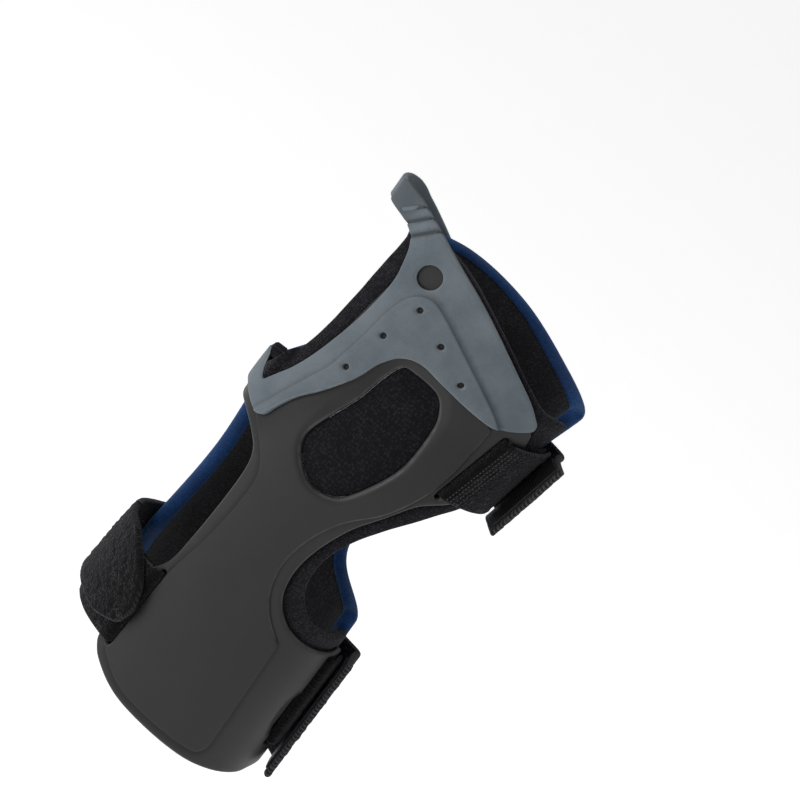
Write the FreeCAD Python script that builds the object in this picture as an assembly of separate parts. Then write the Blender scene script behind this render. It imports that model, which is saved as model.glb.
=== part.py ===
import FreeCAD, Part
import math
import os

# Wrist splint for the left hand, shown closed, in millimetres.
# +Z runs up the limb to the fingers, -Y is the palm side, -X the thumb side.
# The origin is on the axis of the wrist.

V = FreeCAD.Vector

# The limb that the splint is shaped on: height, centre x and y, half width, half depth.
STATIONS = [
    (-82, -9.0, 0.0, 31.5, 25.0),
    (-40, -8.0, 0.0, 30.5, 23.0),
    (0, -6.5, 0.0, 29.0, 19.5),
    (30, -4.25, 1.0, 32.75, 18.0),
    (60, -0.8, 4.0, 34.8, 16.0),
    (78, 2.0, 5.8, 37.2, 15.2),
    (96, 4.0, 7.0, 39.5, 15.0),
    (114, 4.0, 8.0, 40.0, 15.0),
]
ROUNDNESS = 2.25        # exponent of the section: 2 is an ellipse, more is squarer
LOFT_STEP = 9.0
RING_POINTS = 17
PALM_ARC = math.radians(-112)
BACK_ARC = math.radians(55)

# Layers, as distances out from the skin.
LINER_IN = 0.3
LINER_MID = 2.3
SHELL_IN = 4.3
SHELL_OUT = 6.9
OVERLAY_IN = 5.2
OVERLAY_OUT = 8.7
WEB_OUT = 7.8
PAD_OUT = 5.4
STAY_IN = 2.7
STAY_OUT = 3.9
PLY_IN = 5.8            # inner ply of an anchor loop, from SHELL_IN to here
ANCHOR_IN = 7.1
FOAM_OUT = 3.3
PANEL_OUT = 5.3
PANEL_STRAP_IN = 5.5
PANEL_STRAP_OUT = 7.7
FAR = 60.0

# Where the palm half ends and the back half begins.
PALM_SPLIT = 1.0
BACK_SPLIT_ULNAR = 2.2
BACK_SPLIT_RADIAL = 4.2
PANEL_RADIAL_X = -43.0

# Straps and stitches.
STRAP = 2.2
HOOK = 0.7
HOOK_GAP = 0.15
BINDING = 2.4
CORNERS_PER_POINT = 3
THREAD = 0.35
STITCH = 2.2
STITCH_PITCH = 3.1
STAY_HALF_WIDTH = 9.0
STAY_CENTRE_X = -8.0
STAY_LOW = -58.0
STAY_HIGH = 80.0
TIP_LENGTH = 8.0
TIP_SKIN = 0.3

TAB_GAP = 0.4
TAB_START_Y = 5.2
TAB_END_Y = -9.0
TAB_AXIS_Y = 8.0
STRAP_START_Y = 10.8
RADIAL_STRAP_Y = 6.2
RADIAL_LOOP_Y = -3.0
RADIAL_TAB_IN = 9.6
RADIAL_TAB_Y = -7.6
DISTAL_OUT = 8.9
RADIAL_OUT = 8.6
ULNAR_OUT = 8.3
MESH_IN = 2.0
MESH_OUT = 3.2
DISTAL_TAB_Z = (37.5, 64)
DISTAL_TAB_HANG = 3.0   # how far the tab reaches below its anchor
ULNAR_TAB_Z = (-70.5, -25)

# Web strap on the back: where its tab folds, its slant, and outlines along and across it.
WEB_FOLD = (-18.0, 85.0)
WEB_SLANT = math.radians(34.5)
WEB_TAIL_Y = 6.5
WEB_TAIL = [(-40, -4.2), (-2.4, -4.2), (-2.4, 4.2), (-40, 4.2)]
WEB_LAYERS = [
    ("web_landing", 5.4, 6.3, [(3, -8), (3, 8), (28, 8), (28, -8)]),
    ("web_hook", 6.5, 7.2, [(8, -5.5), (8, 5.5), (21, 5.5), (25, 3), (25, -3), (21, -5.5)]),
    ("web_tab", 7.3, 9.4, [(2.4, -4.2), (2.4, 4.2), (7, 7), (22, 7), (27, 3.5), (27, -3.5),
                           (22, -7), (7, -7)]),
]

# Openings in the moulded parts.
PORT_BIG = (-18.6, 89.0, 4.0)
PORTS_SMALL = [(-14.7, 79.7), (-3.0, 75.0), (8.8, 69.3), (-19.0, 66.9), (-22.4, 52.7)]
PORT_SMALL_RADIUS = 1.35
WEB_GROOVES = [((-37, 98.8), (-31.5, 105)), ((-35.6, 94.8), (-28.1, 103.6)),
               ((-31.8, 92.9), (-24.3, 101.6))]

# Outlines seen from the palm side, as x and z.
SHELL_RUNS = [
    [(-34, -61.9), (-35.5, -50), (-34.5, -37), (-30.2, -28), (-29.2, -20), (-28.5, -7),
     (-28.5, 7), (-30, 14.2), (-34.5, 18.5), (-39, 21), (-43, 22), (-52, 22.5)],
    [(-52, 22.5), (-52, 37.5)],
    [(-52, 37.5), (-44, 36.8), (-41.8, 33), (-40.3, 29.3)],
    [(-40.3, 29.3), (-37.5, 33.5), (-34.8, 39.5), (-32.5, 46.5), (-30.8, 53.5), (-29.2, 62),
     (-28, 71), (-26.5, 80), (-25.2, 87), (-23, 92.3), (-18.6, 94.4), (-13.6, 92.4), (-9, 88),
     (-3, 84)],
    [(-3, 84), (12, 77.5), (30, 70.5), (35.5, 68)],
    [(35.5, 68), (36.5, 58), (33.5, 45), (29, 37), (25, 34), (20.5, 30.5), (15, 22.5), (9, 13.8),
     (4.5, 2.8), (3, -6.3), (4.5, -14.5), (9, -20.2), (15, -23.6), (22, -25.2), (30, -25.6)],
    [(30, -25.6), (50, -25.6)],
    [(50, -25.6), (50, -64)],
    [(50, -64), (30, -70), (26, -73), (18, -74.6), (6, -74.6), (-17, -71.5), (-29.5, -66.3),
     (-34, -61.9)],
]
LINER_RUNS = [
    [(-33.4, -61), (-34, -50), (-33, -38), (-29.6, -28), (-28.6, -20), (-27.9, -7), (-27.9, 7),
     (-29.4, 14.5), (-33.8, 19.5), (-38.5, 22.3), (-42, 23.3), (-52, 24)],
    [(-52, 24), (-52, 41.5)],
    [(-52, 41.5), (-42.2, 41), (-40.8, 38.2), (-39.8, 35.3)],
    [(-39.8, 35.3), (-37.8, 40.5), (-36.4, 45.5), (-34.8, 52), (-33.6, 60), (-32.6, 70), (-32, 79),
     (-31, 90), (-31, 97)],
    [(-31, 97), (-20, 98.6), (-9, 96.6), (3, 91.6), (15, 85.7), (27, 79), (36, 75), (52, 73.5)],
    [(52, 73.5), (52, 41)],
    [(52, 41), (35, 38.5), (29, 33.5), (23, 26.4), (16.7, 18.5), (10.6, 9), (7.6, 0),
     (8.3, -9.4), (13.6, -16.4), (20, -19.4), (28, -20.4), (50, -21)],
    [(50, -21), (50, -63)],
    [(50, -63), (29, -69), (18, -73.8), (6, -73.8), (-17, -70.8), (-29, -65.6), (-33.4, -61)],
]
OVERLAY_RUNS = [
    [(-52, 27.6), (-45, 27), (-43.4, 26.2), (-41.3, 25.2), (-38.4, 24), (-36, 23.9), (-33.7, 25.6),
     (-32.4, 29.4), (-29, 36.2), (-24, 42.6), (-18, 51.9), (-15, 59.4), (-10.6, 65),
     (-4.5, 67.2), (3, 66.3), (15, 64.6), (24, 63.8)],
    [(24, 63.8), (30, 65.8), (35.6, 69)],
    [(35.6, 69), (35.6, 71.4)],
    [(35.6, 71.4), (29, 77), (15, 84.8), (0, 92), (-15, 97.7), (-26, 101.8), (-36, 105)],
    [(-36, 105), (-50, 105.7)],
    [(-50, 105.7), (-50, 97.3)],
    [(-50, 97.3), (-40, 97.2), (-35.5, 96.7), (-32, 95.2), (-29.6, 92.5), (-28.3, 88.5),
     (-27, 81.7), (-27.6, 73), (-29, 64), (-31.1, 55.6), (-33, 49), (-35.8, 41.8), (-38.8, 36.3),
     (-41.3, 31.4)],
    [(-41.3, 31.4), (-43.4, 34.4), (-45.2, 38.4), (-52, 39.5)],
    [(-52, 39.5), (-52, 27.6)],
]
WINDOW = [
    (-3, 18.3), (1.5, 21.3), (7, 30.2), (10.3, 39.2), (10.6, 51.7), (8.8, 58.2), (4.5, 62.3),
    (-4.5, 63.2), (-9, 62.1), (-11.6, 56.1), (-13.8, 47.2), (-17.4, 38.3), (-20, 30.3),
    (-19, 25.3), (-14.4, 20.3), (-9, 17.7),
]
PAD = [
    (-3, 19.5), (0.8, 22.3), (6, 30.8), (9.2, 39.4), (9.5, 51.5), (8, 57.6), (4, 61.2),
    (-4.3, 62), (-8.2, 61.1), (-10.5, 55.8), (-12.7, 46.8), (-16.3, 38), (-18.8, 30.2),
    (-17.9, 25.9), (-13.9, 21.3), (-9, 18.8),
]
PANEL_RUNS = [
    [(-50, -60), (-50, 33)],
    [(-50, 33), (-42, 37), (-34, 47), (-30.5, 62), (-31, 78), (-34, 91)],
    [(-34, 91), (-14, 94), (10, 91), (34, 83), (52, 77)],
    [(52, 77), (52, 36)],
    [(52, 36), (30, 31), (17, 21), (12, 6), (14, -8), (28, -15), (50, -17)],
    [(50, -17), (50, -62)],
    [(50, -62), (30, -66), (-8, -69), (-40, -64), (-50, -60)],
]
VENT = [(-24, -14), (-25, 8), (-19, 34), (-8, 42), (4, 34), (6, 8), (4, -14), (-10, -20)]
LENS = [(29.5, -36), (26.4, -42), (25.4, -49), (27, -58), (29.5, -60), (31, -48)]
DISTAL_SLOT = [(22.6, 36.2), (29.4, 63.2), (31.6, 62.8), (24.8, 35.8)]
DISTAL_LOOP = [(23.1, 37), (29.5, 62.6), (52, 64.5), (52, 37)]
RADIAL_SLOT = [(-28.2, -31.2), (-29.2, -60.6), (-31.4, -60.6), (-30.4, -31.2)]
RADIAL_LOOP = [(-28.6, -31.8), (-29.6, -60), (-56, -58), (-56, -33.5)]
ULNAR_SLOT = [(27.2, -26.8), (27.2, -61.6), (29, -61.6), (29, -26.8)]
ULNAR_LOOP = [(27.4, -27.4), (27.4, -61), (50, -61), (50, -27.4)]
DISTAL_BAR = [(23.2, 30), (32.2, 66), (38.5, 66), (38.5, 30)]
RADIAL_BAR = [(-30, -25), (-31.4, -66), (-37.5, -66), (-37.5, -25)]
ULNAR_BAR = [(28.9, -20), (28.9, -68), (33, -68), (33, -20)]
DISTAL_STRAP = [(-12, 41), (-12, 60.5), (12, 61), (30, 64.5), (60, 64), (60, 37.5), (30, 38.5)]
PROXIMAL_STRAP = [(-4, -60), (-4, -27), (60, -25), (60, -70.5), (26, -67)]
RADIAL_STRAP = [(-60, -52), (-60, -26), (-14, -26), (-14, -54)]
RADIAL_TAB = [(-60, -26.5), (-43.5, -26.8), (-37, -31.6), (-31, -38.6), (-29, -45.5), (-30.6, -51.8),
              (-38.6, -55), (-60, -52)]
RADIAL_HOOK = [(-60, -31), (-43, -31), (-38, -34.4), (-33.4, -40), (-31.6, -46), (-33, -50.5),
               (-39, -52), (-60, -50)]
RADIAL_BEND = [(-48.7, -2.4), (-46.9, 0.4)]
STITCH_BOXES = [(-10, 6, 44, 58), (0, 12, -57, -30), (-28, -17, -50, -28)]


def limb(z):
    """Centre and half sizes of the limb at a height, by a cubic through the stations."""
    last = len(STATIONS) - 1
    i = 0
    while i < last - 1 and z > STATIONS[i + 1][0]:
        i += 1
    low, high = STATIONS[i], STATIONS[i + 1]
    span = high[0] - low[0]
    t = (z - low[0]) / span
    values = []
    for k in range(1, 5):
        slopes = []
        for j in (i, i + 1):
            before, after = STATIONS[max(j - 1, 0)], STATIONS[min(j + 1, last)]
            slopes.append((after[k] - before[k]) / (after[0] - before[0]) * span)
        start = (2 * t**3 - 3 * t**2 + 1) * low[k] + (t**3 - 2 * t**2 + t) * slopes[0]
        end = (3 * t**2 - 2 * t**3) * high[k] + (t**3 - t**2) * slopes[1]
        values.append(start + end)
    return values


def on_section(z, out, angle):
    """Point of the section at a distance out from the skin; angle 0 is the palm side."""
    cx, cy, half_width, half_depth = limb(z)
    power = 2 / ROUNDNESS
    s, c = math.sin(angle), math.cos(angle)
    x = cx + (half_width + out) * math.copysign(abs(s) ** power, s)
    y = cy - (half_depth + out) * math.copysign(abs(c) ** power, c)
    return V(x, y, z)


def surface_y(x, z, out, back=False):
    """Depth of the layer's surface in front of or behind a point of the outline plane."""
    cx, cy, half_width, half_depth = limb(z)
    share = min(abs(x - cx) / (half_width + out), 1)
    depth = (half_depth + out) * (1 - share**ROUNDNESS) ** (1 / ROUNDNESS)
    return cy + depth if back else cy - depth


cores = {}


def core(out, back=False):
    """Palm or back half of the limb grown by a distance, as a solid."""
    if (out, back) not in cores:
        low, high = STATIONS[0][0], STATIONS[-1][0]
        count = round((high - low) / LOFT_STEP)
        first = BACK_ARC if back else PALM_ARC
        sweep = 2 * (math.pi - first) if back else -2 * first
        rings = []
        for i in range(count + 1):
            z = low + (high - low) * i / count
            angles = [first + sweep * k / (RING_POINTS - 1) for k in range(RING_POINTS)]
            points = [on_section(z, out, angle) for angle in angles]
            rings.append(Part.Wire([smooth(points), Part.makeLine(points[-1], points[0])]))
        cores[out, back] = Part.makeLoft(rings, True, True)
    return cores[out, back]


def layer(inner, outer, region, back=False):
    """The part of a region that lies between two distances from the skin."""
    return core(outer, back).common(region).cut(core(inner, back))


def smooth(points, closed=False):
    curve = Part.BSplineCurve()
    curve.interpolate(Points=points, PeriodicFlag=closed)
    return curve.toShape()


def plane_points(points, y):
    return [V(x, y, z) for x, z in points]


def prism(wire, low_y, high_y):
    return Part.Face(wire).extrude(V(0, high_y - low_y, 0))


def runs_prism(runs, low_y, high_y):
    """Block through the depth whose outline is made of straight and smooth runs."""
    edges = []
    for run in runs:
        points = plane_points(run, low_y)
        edges.append(Part.makeLine(*points) if len(points) == 2 else smooth(points))
    return prism(Part.Wire(edges), low_y, high_y)


def loop_prism(points, low_y, high_y):
    return prism(Part.Wire(smooth(plane_points(points, low_y), True)), low_y, high_y)


def polygon_prism(points, low_y, high_y):
    corners = plane_points(points, low_y)
    return prism(Part.makePolygon(corners + corners[:1]), low_y, high_y)


def band(points, width, low_y, high_y):
    """Block along a smooth line of the outline plane, of one width."""
    curve = smooth(plane_points(points, low_y))
    first, last = curve.ParameterRange
    left, right = [], []
    for k in range(len(points) * 2):
        u = first + (last - first) * k / (len(points) * 2 - 1)
        tangent = curve.tangentAt(u)
        side = V(tangent.z, 0, -tangent.x) * (width / 2)
        left.append(curve.valueAt(u) + side)
        right.append(curve.valueAt(u) - side)
    edges = [smooth(left), Part.makeLine(left[-1], right[-1]), smooth(right),
             Part.makeLine(right[0], left[0])]
    return prism(Part.Wire(Part.__sortEdges__(edges)), low_y, high_y)


def space(x0, x1, y0, y1, z0, z1):
    return Part.makeBox(x1 - x0, y1 - y0, z1 - z0, V(x0, y0, z0))


def strip(points, thickness, low_z, high_z, lean):
    """Strap from a line seen along the limb, leaning out with the side of the hand."""
    line = [V(x + lean * low_z, y, low_z) for x, y in points]
    curve = smooth(line) if len(line) > 2 else Part.makeLine(*line)
    first, last = curve.ParameterRange
    left, right = [], []
    for k in range(7):
        u = first + (last - first) * k / 6
        tangent = curve.tangentAt(u)
        side = V(tangent.y, -tangent.x, 0) * (thickness / 2)
        left.append(curve.valueAt(u) + side)
        right.append(curve.valueAt(u) - side)
    edges = [smooth(left), Part.makeLine(left[-1], right[-1]), smooth(right),
             Part.makeLine(right[0], left[0])]
    height = high_z - low_z
    face = Part.Face(Part.Wire(Part.__sortEdges__(edges)))
    return face.extrude(V(lean * height, 0, height))


def port(x, z, radius):
    return Part.makeCylinder(radius, FAR, V(x, -FAR, z), V(0, 1, 0))


def save(name, shape):
    shape.removeSplitter().exportStep("parts/" + name + ".step")
    solids = shape.Solids
    box = shape.BoundBox
    print(name, "valid" if shape.isValid() else "INVALID", len(solids), round(shape.Volume),
          [round(v, 1) for v in (box.XMin, box.XMax, box.YMin, box.YMax, box.ZMin, box.ZMax)])


def stitch_row(start, end, out, back=False):
    """Separate stitches along a straight line of the outline plane, on a layer's face."""
    length = math.hypot(end[0] - start[0], end[1] - start[1])
    count = int(length // STITCH_PITCH)
    row = []
    for k in range(count):
        ends = []
        for reach in (k * STITCH_PITCH, k * STITCH_PITCH + STITCH):
            x = start[0] + (end[0] - start[0]) * reach / length
            z = start[1] + (end[1] - start[1]) * reach / length
            ends.append(V(x, surface_y(x, z, out + 2 * THREAD, back), z))
        along = ends[1] - ends[0]
        row.append(Part.makeCylinder(THREAD, along.Length, ends[0], along))
    return row


def along_web(u, w):
    """Point of the outline plane, along and across the web strap from its tab's fold."""
    x, z = WEB_FOLD
    c, d = math.cos(WEB_SLANT), math.sin(WEB_SLANT)
    return x + u * c + w * d, z - u * d + w * c


def widest(z, out):
    """X of the layer at the ulnar side, where the limb is widest."""
    cx, _, half_width, _ = limb(z)
    return cx + half_width + out


def tab_line(reach, outward):
    """A tab's line, seen along the limb: flat past the side, a little lifted at its end."""
    x = reach + TAB_GAP + outward
    return [(x, TAB_START_Y), (x, 0), (x + 0.5, -4), (x + 1.3, TAB_END_Y)]


def hook_line(reach):
    x = reach + TAB_GAP + HOOK / 2 - HOOK_GAP
    return [(x, 2), (x, 0), (x + 0.5, -4), (x + 1.1, TAB_END_Y + 1.2)]


def palm_region(runs):
    return runs_prism(runs, -FAR, PALM_SPLIT)


def shell():
    body = layer(SHELL_IN, SHELL_OUT, palm_region(SHELL_RUNS))
    body = body.cut(loop_prism(WINDOW, -FAR, 0))
    for slot in (DISTAL_SLOT, RADIAL_SLOT, ULNAR_SLOT):
        body = body.cut(polygon_prism(slot, -FAR, PALM_SPLIT))
    for loop in (DISTAL_LOOP, RADIAL_LOOP, ULNAR_LOOP):
        relief = layer(SHELL_IN, PLY_IN + 0.1, polygon_prism(loop, -FAR, PALM_SPLIT))
        body = body.cut(relief)
    scoop = layer(SHELL_OUT - 1.0, OVERLAY_OUT, loop_prism(LENS, -FAR, PALM_SPLIT))
    return body.cut(scoop)


def overlay(shell_body):
    region = palm_region(OVERLAY_RUNS)
    body = layer(OVERLAY_IN, OVERLAY_OUT, region).cut(shell_body)
    web = layer(WEB_OUT, OVERLAY_OUT + 1, space(-60, -29, -FAR, FAR, 94, 112))
    body = body.cut(web)
    for start, end in WEB_GROOVES:
        middle = ((start[0] + end[0]) / 2, (start[1] + end[1]) / 2)
        groove = band([start, middle, end], 1.0, -FAR, PALM_SPLIT)
        body = body.cut(layer(WEB_OUT - 1.0, OVERLAY_OUT + 1, groove))
    body = body.cut(port(*PORT_BIG))
    for x, z in PORTS_SMALL:
        body = body.cut(layer(SHELL_OUT, OVERLAY_OUT + 1, port(x, z, PORT_SMALL_RADIUS)))
    return max(body.Solids, key=lambda s: s.Volume)


def stay_region(grow, low, high):
    left = STAY_CENTRE_X - STAY_HALF_WIDTH - grow
    right = STAY_CENTRE_X + STAY_HALF_WIDTH + grow
    return space(left, right, -FAR, 0, low, high)


def drawn_in(runs, distance):
    """Corners of an outline moved inwards by a distance."""
    corners = []
    for run in runs:
        points = plane_points(run, 0)
        if len(points) > 2:
            points = smooth(points).discretize(Number=len(points) * CORNERS_PER_POINT)
        corners += points[:-1]
    area = sum(p.x * q.z - q.x * p.z for p, q in zip(corners, corners[1:] + corners[:1]))
    turn = math.copysign(1, area)
    moved = []
    for i, corner in enumerate(corners):
        before = (corner - corners[i - 1]).normalize()
        after = (corners[(i + 1) % len(corners)] - corner).normalize()
        normals = [V(-edge.z * turn, 0, edge.x * turn) for edge in (before, after)]
        step = (normals[0] + normals[1]) * (distance / (1 + normals[0].dot(normals[1])))
        moved.append((corner.x + step.x, corner.z + step.z))
    return moved


def panel_region(inset):
    """The back half's outline; an inset leaves room for the edge binding."""
    low_y = BACK_SPLIT_ULNAR + inset
    if inset:
        block = polygon_prism(drawn_in(PANEL_RUNS, inset), low_y, FAR)
    else:
        block = runs_prism(PANEL_RUNS, low_y, FAR)
    block = block.cut(space(-FAR, 0, -FAR, BACK_SPLIT_RADIAL, -90, 120))
    return block.cut(space(-2 * FAR, PANEL_RADIAL_X, -FAR, FAR, -90, 120))


def panel_strap(points):
    region = polygon_prism(points, 0, FAR)
    return layer(PANEL_STRAP_IN, PANEL_STRAP_OUT, region, back=True)


os.makedirs("parts", exist_ok=True)

shell_body = shell()
save("palm_shell", shell_body)
save("palm_overlay", overlay(shell_body))

liner_region = palm_region(LINER_RUNS)
save("liner_foam", layer(LINER_IN, LINER_MID, liner_region))
backing = layer(LINER_MID, SHELL_IN, liner_region)
save("liner_backing", backing.cut(stay_region(0.5, STAY_LOW - 1.5, STAY_HIGH + 1.5)))
save("window_pad", layer(SHELL_IN, PAD_OUT, loop_prism(PAD, -FAR, 0)))

stay = layer(STAY_IN, STAY_OUT, stay_region(0, STAY_LOW, STAY_HIGH))
save("palmar_stay", stay)
low_tip = stay_region(0.3, STAY_LOW - 1, STAY_LOW + TIP_LENGTH)
high_tip = stay_region(0.3, STAY_HIGH - TIP_LENGTH, STAY_HIGH + 1)
for name, region in (("stay_tip_proximal", low_tip), ("stay_tip_distal", high_tip)):
    save(name, layer(STAY_IN - TIP_SKIN, STAY_OUT + TIP_SKIN, region).cut(stay))


def anchor(loop, bar, outer, high_y):
    """Webbing looped through a slot and round its bar, sewn to itself past the bar."""
    webbing = layer(SHELL_IN + 0.2, outer, polygon_prism(loop, -FAR, high_y))
    return webbing.cut(layer(PLY_IN, ANCHOR_IN, polygon_prism(bar, -FAR, FAR)))


save("distal_anchor", anchor(DISTAL_LOOP, DISTAL_BAR, DISTAL_OUT, PALM_SPLIT))
save("radial_anchor", anchor(RADIAL_LOOP, RADIAL_BAR, RADIAL_OUT, RADIAL_LOOP_Y))
save("proximal_anchor", anchor(ULNAR_LOOP, ULNAR_BAR, ULNAR_OUT, PALM_SPLIT))

threads = []
for k in range(4):
    shift = 1.6 + 1.5 * k
    threads += stitch_row((23.5 + shift, 38), (29 + shift, 61.5), DISTAL_OUT)
save("anchor_stitching", Part.makeCompound(threads))

# Back half.
full = panel_region(0)
inside = panel_region(BINDING)
vent = loop_prism(VENT, 0, FAR)
save("dorsal_foam", layer(LINER_IN, FOAM_OUT, inside, back=True).cut(vent))
save("dorsal_face", layer(FOAM_OUT, PANEL_OUT, inside, back=True).cut(vent))
save("dorsal_binding", layer(LINER_IN, PANEL_OUT, full, back=True).cut(inside))
save("dorsal_mesh", layer(MESH_IN, MESH_OUT, vent, back=True))

STRAP_SIDE = space(-2 * FAR, 2 * FAR, STRAP_START_Y, FAR, -90, 120)
save("distal_strap", panel_strap(DISTAL_STRAP).common(STRAP_SIDE))
save("proximal_strap", panel_strap(PROXIMAL_STRAP).common(STRAP_SIDE))
radial_side = space(-2 * FAR, 0, RADIAL_STRAP_Y, FAR, -90, 120)
save("radial_strap", panel_strap(RADIAL_STRAP).common(radial_side))

threads = []
for left, right, low, high in STITCH_BOXES:
    corners = [(left, low), (right, low), (right, high), (left, high), (left, low)]
    for start, end in zip(corners, corners[1:]):
        threads += stitch_row(start, end, PANEL_STRAP_OUT, back=True)
save("panel_stitching", Part.makeCompound(threads))

# Strap through the thumb web: tail, landing patch, tab and hook.
tail = polygon_prism([along_web(u, w) for u, w in WEB_TAIL], WEB_TAIL_Y, FAR)
save("web_strap_tail", layer(PANEL_STRAP_IN, PANEL_STRAP_OUT, tail, back=True))
for name, inner, outer, points in WEB_LAYERS:
    region = polygon_prism([along_web(u, w) for u, w in points], WEB_TAIL_Y, FAR)
    save(name, layer(inner, outer, region, back=True))

# Tabs that close on the anchors, each with its hook patch.
low, high = DISTAL_TAB_Z
slope = (widest(high, 0) - widest(low, 0)) / (high - low)
reach = max(widest(z, DISTAL_OUT) - slope * z for z in (low, 46, 50, 54, 58, high))
free = low - DISTAL_TAB_HANG
save("distal_tab", strip(tab_line(reach, STRAP / 2 + HOOK), STRAP, free, high, slope))
save("distal_hook", strip(hook_line(reach), HOOK, free + 1.5, high - 1.5, slope))
print("distal tab axis", reach + HOOK + STRAP / 2, TAB_AXIS_Y, "slope", slope)

low, high = ULNAR_TAB_Z
reach = max(widest(z, ULNAR_OUT) for z in (low, high, -40))
save("proximal_tab", strip(tab_line(reach, STRAP / 2 + HOOK), STRAP, low, high, 0))
save("proximal_hook", strip(hook_line(reach), HOOK, low + 2, high - 2, 0))
print("proximal tab axis", reach + HOOK + STRAP / 2, TAB_AXIS_Y)

tab = polygon_prism(RADIAL_TAB, -FAR, RADIAL_TAB_Y)
save("radial_tab", layer(RADIAL_TAB_IN, RADIAL_TAB_IN + STRAP, tab))
hook = polygon_prism(RADIAL_HOOK, -FAR, RADIAL_TAB_Y - 1)
save("radial_hook", layer(RADIAL_TAB_IN - 0.1 - HOOK, RADIAL_TAB_IN - 0.1, hook))
save("radial_strap_bend", strip(RADIAL_BEND, STRAP, -52, -26, 0))
print("web axis", along_web(0, 0), surface_y(*along_web(0, 0), PANEL_STRAP_OUT, back=True))
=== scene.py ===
import math

import bmesh
import bpy
import numpy as np
from mathutils import Matrix, Vector, geometry


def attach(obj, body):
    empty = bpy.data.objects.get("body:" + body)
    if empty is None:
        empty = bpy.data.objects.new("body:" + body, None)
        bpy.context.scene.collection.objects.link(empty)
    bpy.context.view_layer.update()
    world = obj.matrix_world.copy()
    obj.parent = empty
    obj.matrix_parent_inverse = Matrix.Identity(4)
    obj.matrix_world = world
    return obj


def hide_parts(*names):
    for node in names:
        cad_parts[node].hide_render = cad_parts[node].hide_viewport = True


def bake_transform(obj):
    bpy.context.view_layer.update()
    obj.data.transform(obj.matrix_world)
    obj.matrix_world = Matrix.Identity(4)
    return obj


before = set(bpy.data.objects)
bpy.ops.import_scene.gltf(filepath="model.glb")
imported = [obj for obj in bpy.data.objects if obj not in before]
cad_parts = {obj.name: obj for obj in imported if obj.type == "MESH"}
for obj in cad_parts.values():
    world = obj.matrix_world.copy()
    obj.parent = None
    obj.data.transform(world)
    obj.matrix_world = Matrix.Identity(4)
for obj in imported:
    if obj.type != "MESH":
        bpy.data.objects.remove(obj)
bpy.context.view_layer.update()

# A wrist splint for the left hand. Lengths here are in millimetres, in the frame's axes:
# +Z to the fingers, -Y the palm side, -X the thumb side. MM turns them into metres.
MM = 0.001

# ---- the limb it is shaped on

STATIONS = np.array([
    (-82, -9.0, 0.0, 31.5, 25.0), (-40, -8.0, 0.0, 30.5, 23.0), (0, -6.5, 0.0, 29.0, 19.5),
    (30, -4.25, 1.0, 32.75, 18.0), (60, -0.8, 4.0, 34.8, 16.0), (78, 2.0, 5.8, 37.2, 15.2),
    (96, 4.0, 7.0, 39.5, 15.0), (114, 4.0, 8.0, 40.0, 15.0)])
ROUNDNESS = 2.25

# Layers, as distances out from the skin.
LINER_IN, LINER_MID, SHELL_IN, SHELL_OUT = 0.3, 2.3, 4.3, 6.9
OVERLAY_IN, OVERLAY_OUT, WEB_OUT = 5.2, 8.7, 7.8
FOAM_OUT, PANEL_OUT = 3.3, 5.3
STRAP_MIDDLE = 6.6
PALM_SPLIT, BACK_SPLIT_ULNAR, BACK_SPLIT_RADIAL = 1.0, 2.2, 4.2


def limb(z):
    """Centre x and y, half width and half depth at each height."""
    heights = STATIONS[:, 0]
    z = np.clip(np.asarray(z, float), heights[0], heights[-1])
    i = np.clip(np.searchsorted(heights, z) - 1, 0, len(STATIONS) - 2)
    before, after = np.maximum(i - 1, 0), np.minimum(i + 2, len(STATIONS) - 1)
    span = heights[i + 1] - heights[i]
    t = (z - heights[i]) / span
    values = []
    for k in range(1, 5):
        column = STATIONS[:, k]
        start = (column[i + 1] - column[before]) / (heights[i + 1] - heights[before]) * span
        end = (column[after] - column[i]) / (heights[after] - heights[i]) * span
        values.append((2 * t**3 - 3 * t**2 + 1) * column[i] + (t**3 - 2 * t**2 + t) * start
                      + (3 * t**2 - 2 * t**3) * column[i + 1] + (t**3 - t**2) * end)
    return values


def on_section(turn, z, out):
    """Points at a distance out from the skin; turn is 0 at the palm side, grows to the ulnar."""
    cx, cy, half_width, half_depth = limb(z)
    power = 2 / ROUNDNESS
    across, depth = np.sin(turn), np.cos(turn)
    x = cx + (half_width + out) * np.sign(across) * np.abs(across) ** power
    y = cy - (half_depth + out) * np.sign(depth) * np.abs(depth) ** power
    return np.stack([x, y, z + 0 * x], axis=-1)


# Lengths of surface round the limb for each height, counted from the middle of the palm.
TABLE_OUT = 6.0
TABLE_Z = np.linspace(-90, 120, 106)
TABLE_TURN = np.linspace(0, 2 * math.pi, 1441)
TABLE_S = np.linspace(0, 250, 501)


def length_tables():
    turns, heights = np.meshgrid(TABLE_TURN, TABLE_Z)
    ring = on_section(turns, heights, TABLE_OUT)
    steps = np.linalg.norm(np.diff(ring[..., :2], axis=1), axis=2)
    lengths = np.concatenate([np.zeros((len(TABLE_Z), 1)), np.cumsum(steps, axis=1)], axis=1)
    return lengths, np.array([np.interp(TABLE_S, row, TABLE_TURN) for row in lengths])


LENGTHS, TURNS = length_tables()


def looked_up(table, columns, value, z):
    """Linear look-up of a table whose rows are the heights, odd about 0."""
    value, z = np.broadcast_arrays(np.asarray(value, float), np.asarray(z, float))
    c = np.clip(np.abs(value) / (columns[1] - columns[0]), 0, len(columns) - 1.001)
    r = np.clip((z - TABLE_Z[0]) / (TABLE_Z[1] - TABLE_Z[0]), 0, len(TABLE_Z) - 1.001)
    i, j = r.astype(int), c.astype(int)
    u, v = r - i, c - j
    low = table[i, j] * (1 - v) + table[i, j + 1] * v
    high = table[i + 1, j] * (1 - v) + table[i + 1, j + 1] * v
    return np.sign(value) * (low * (1 - u) + high * u)


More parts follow.
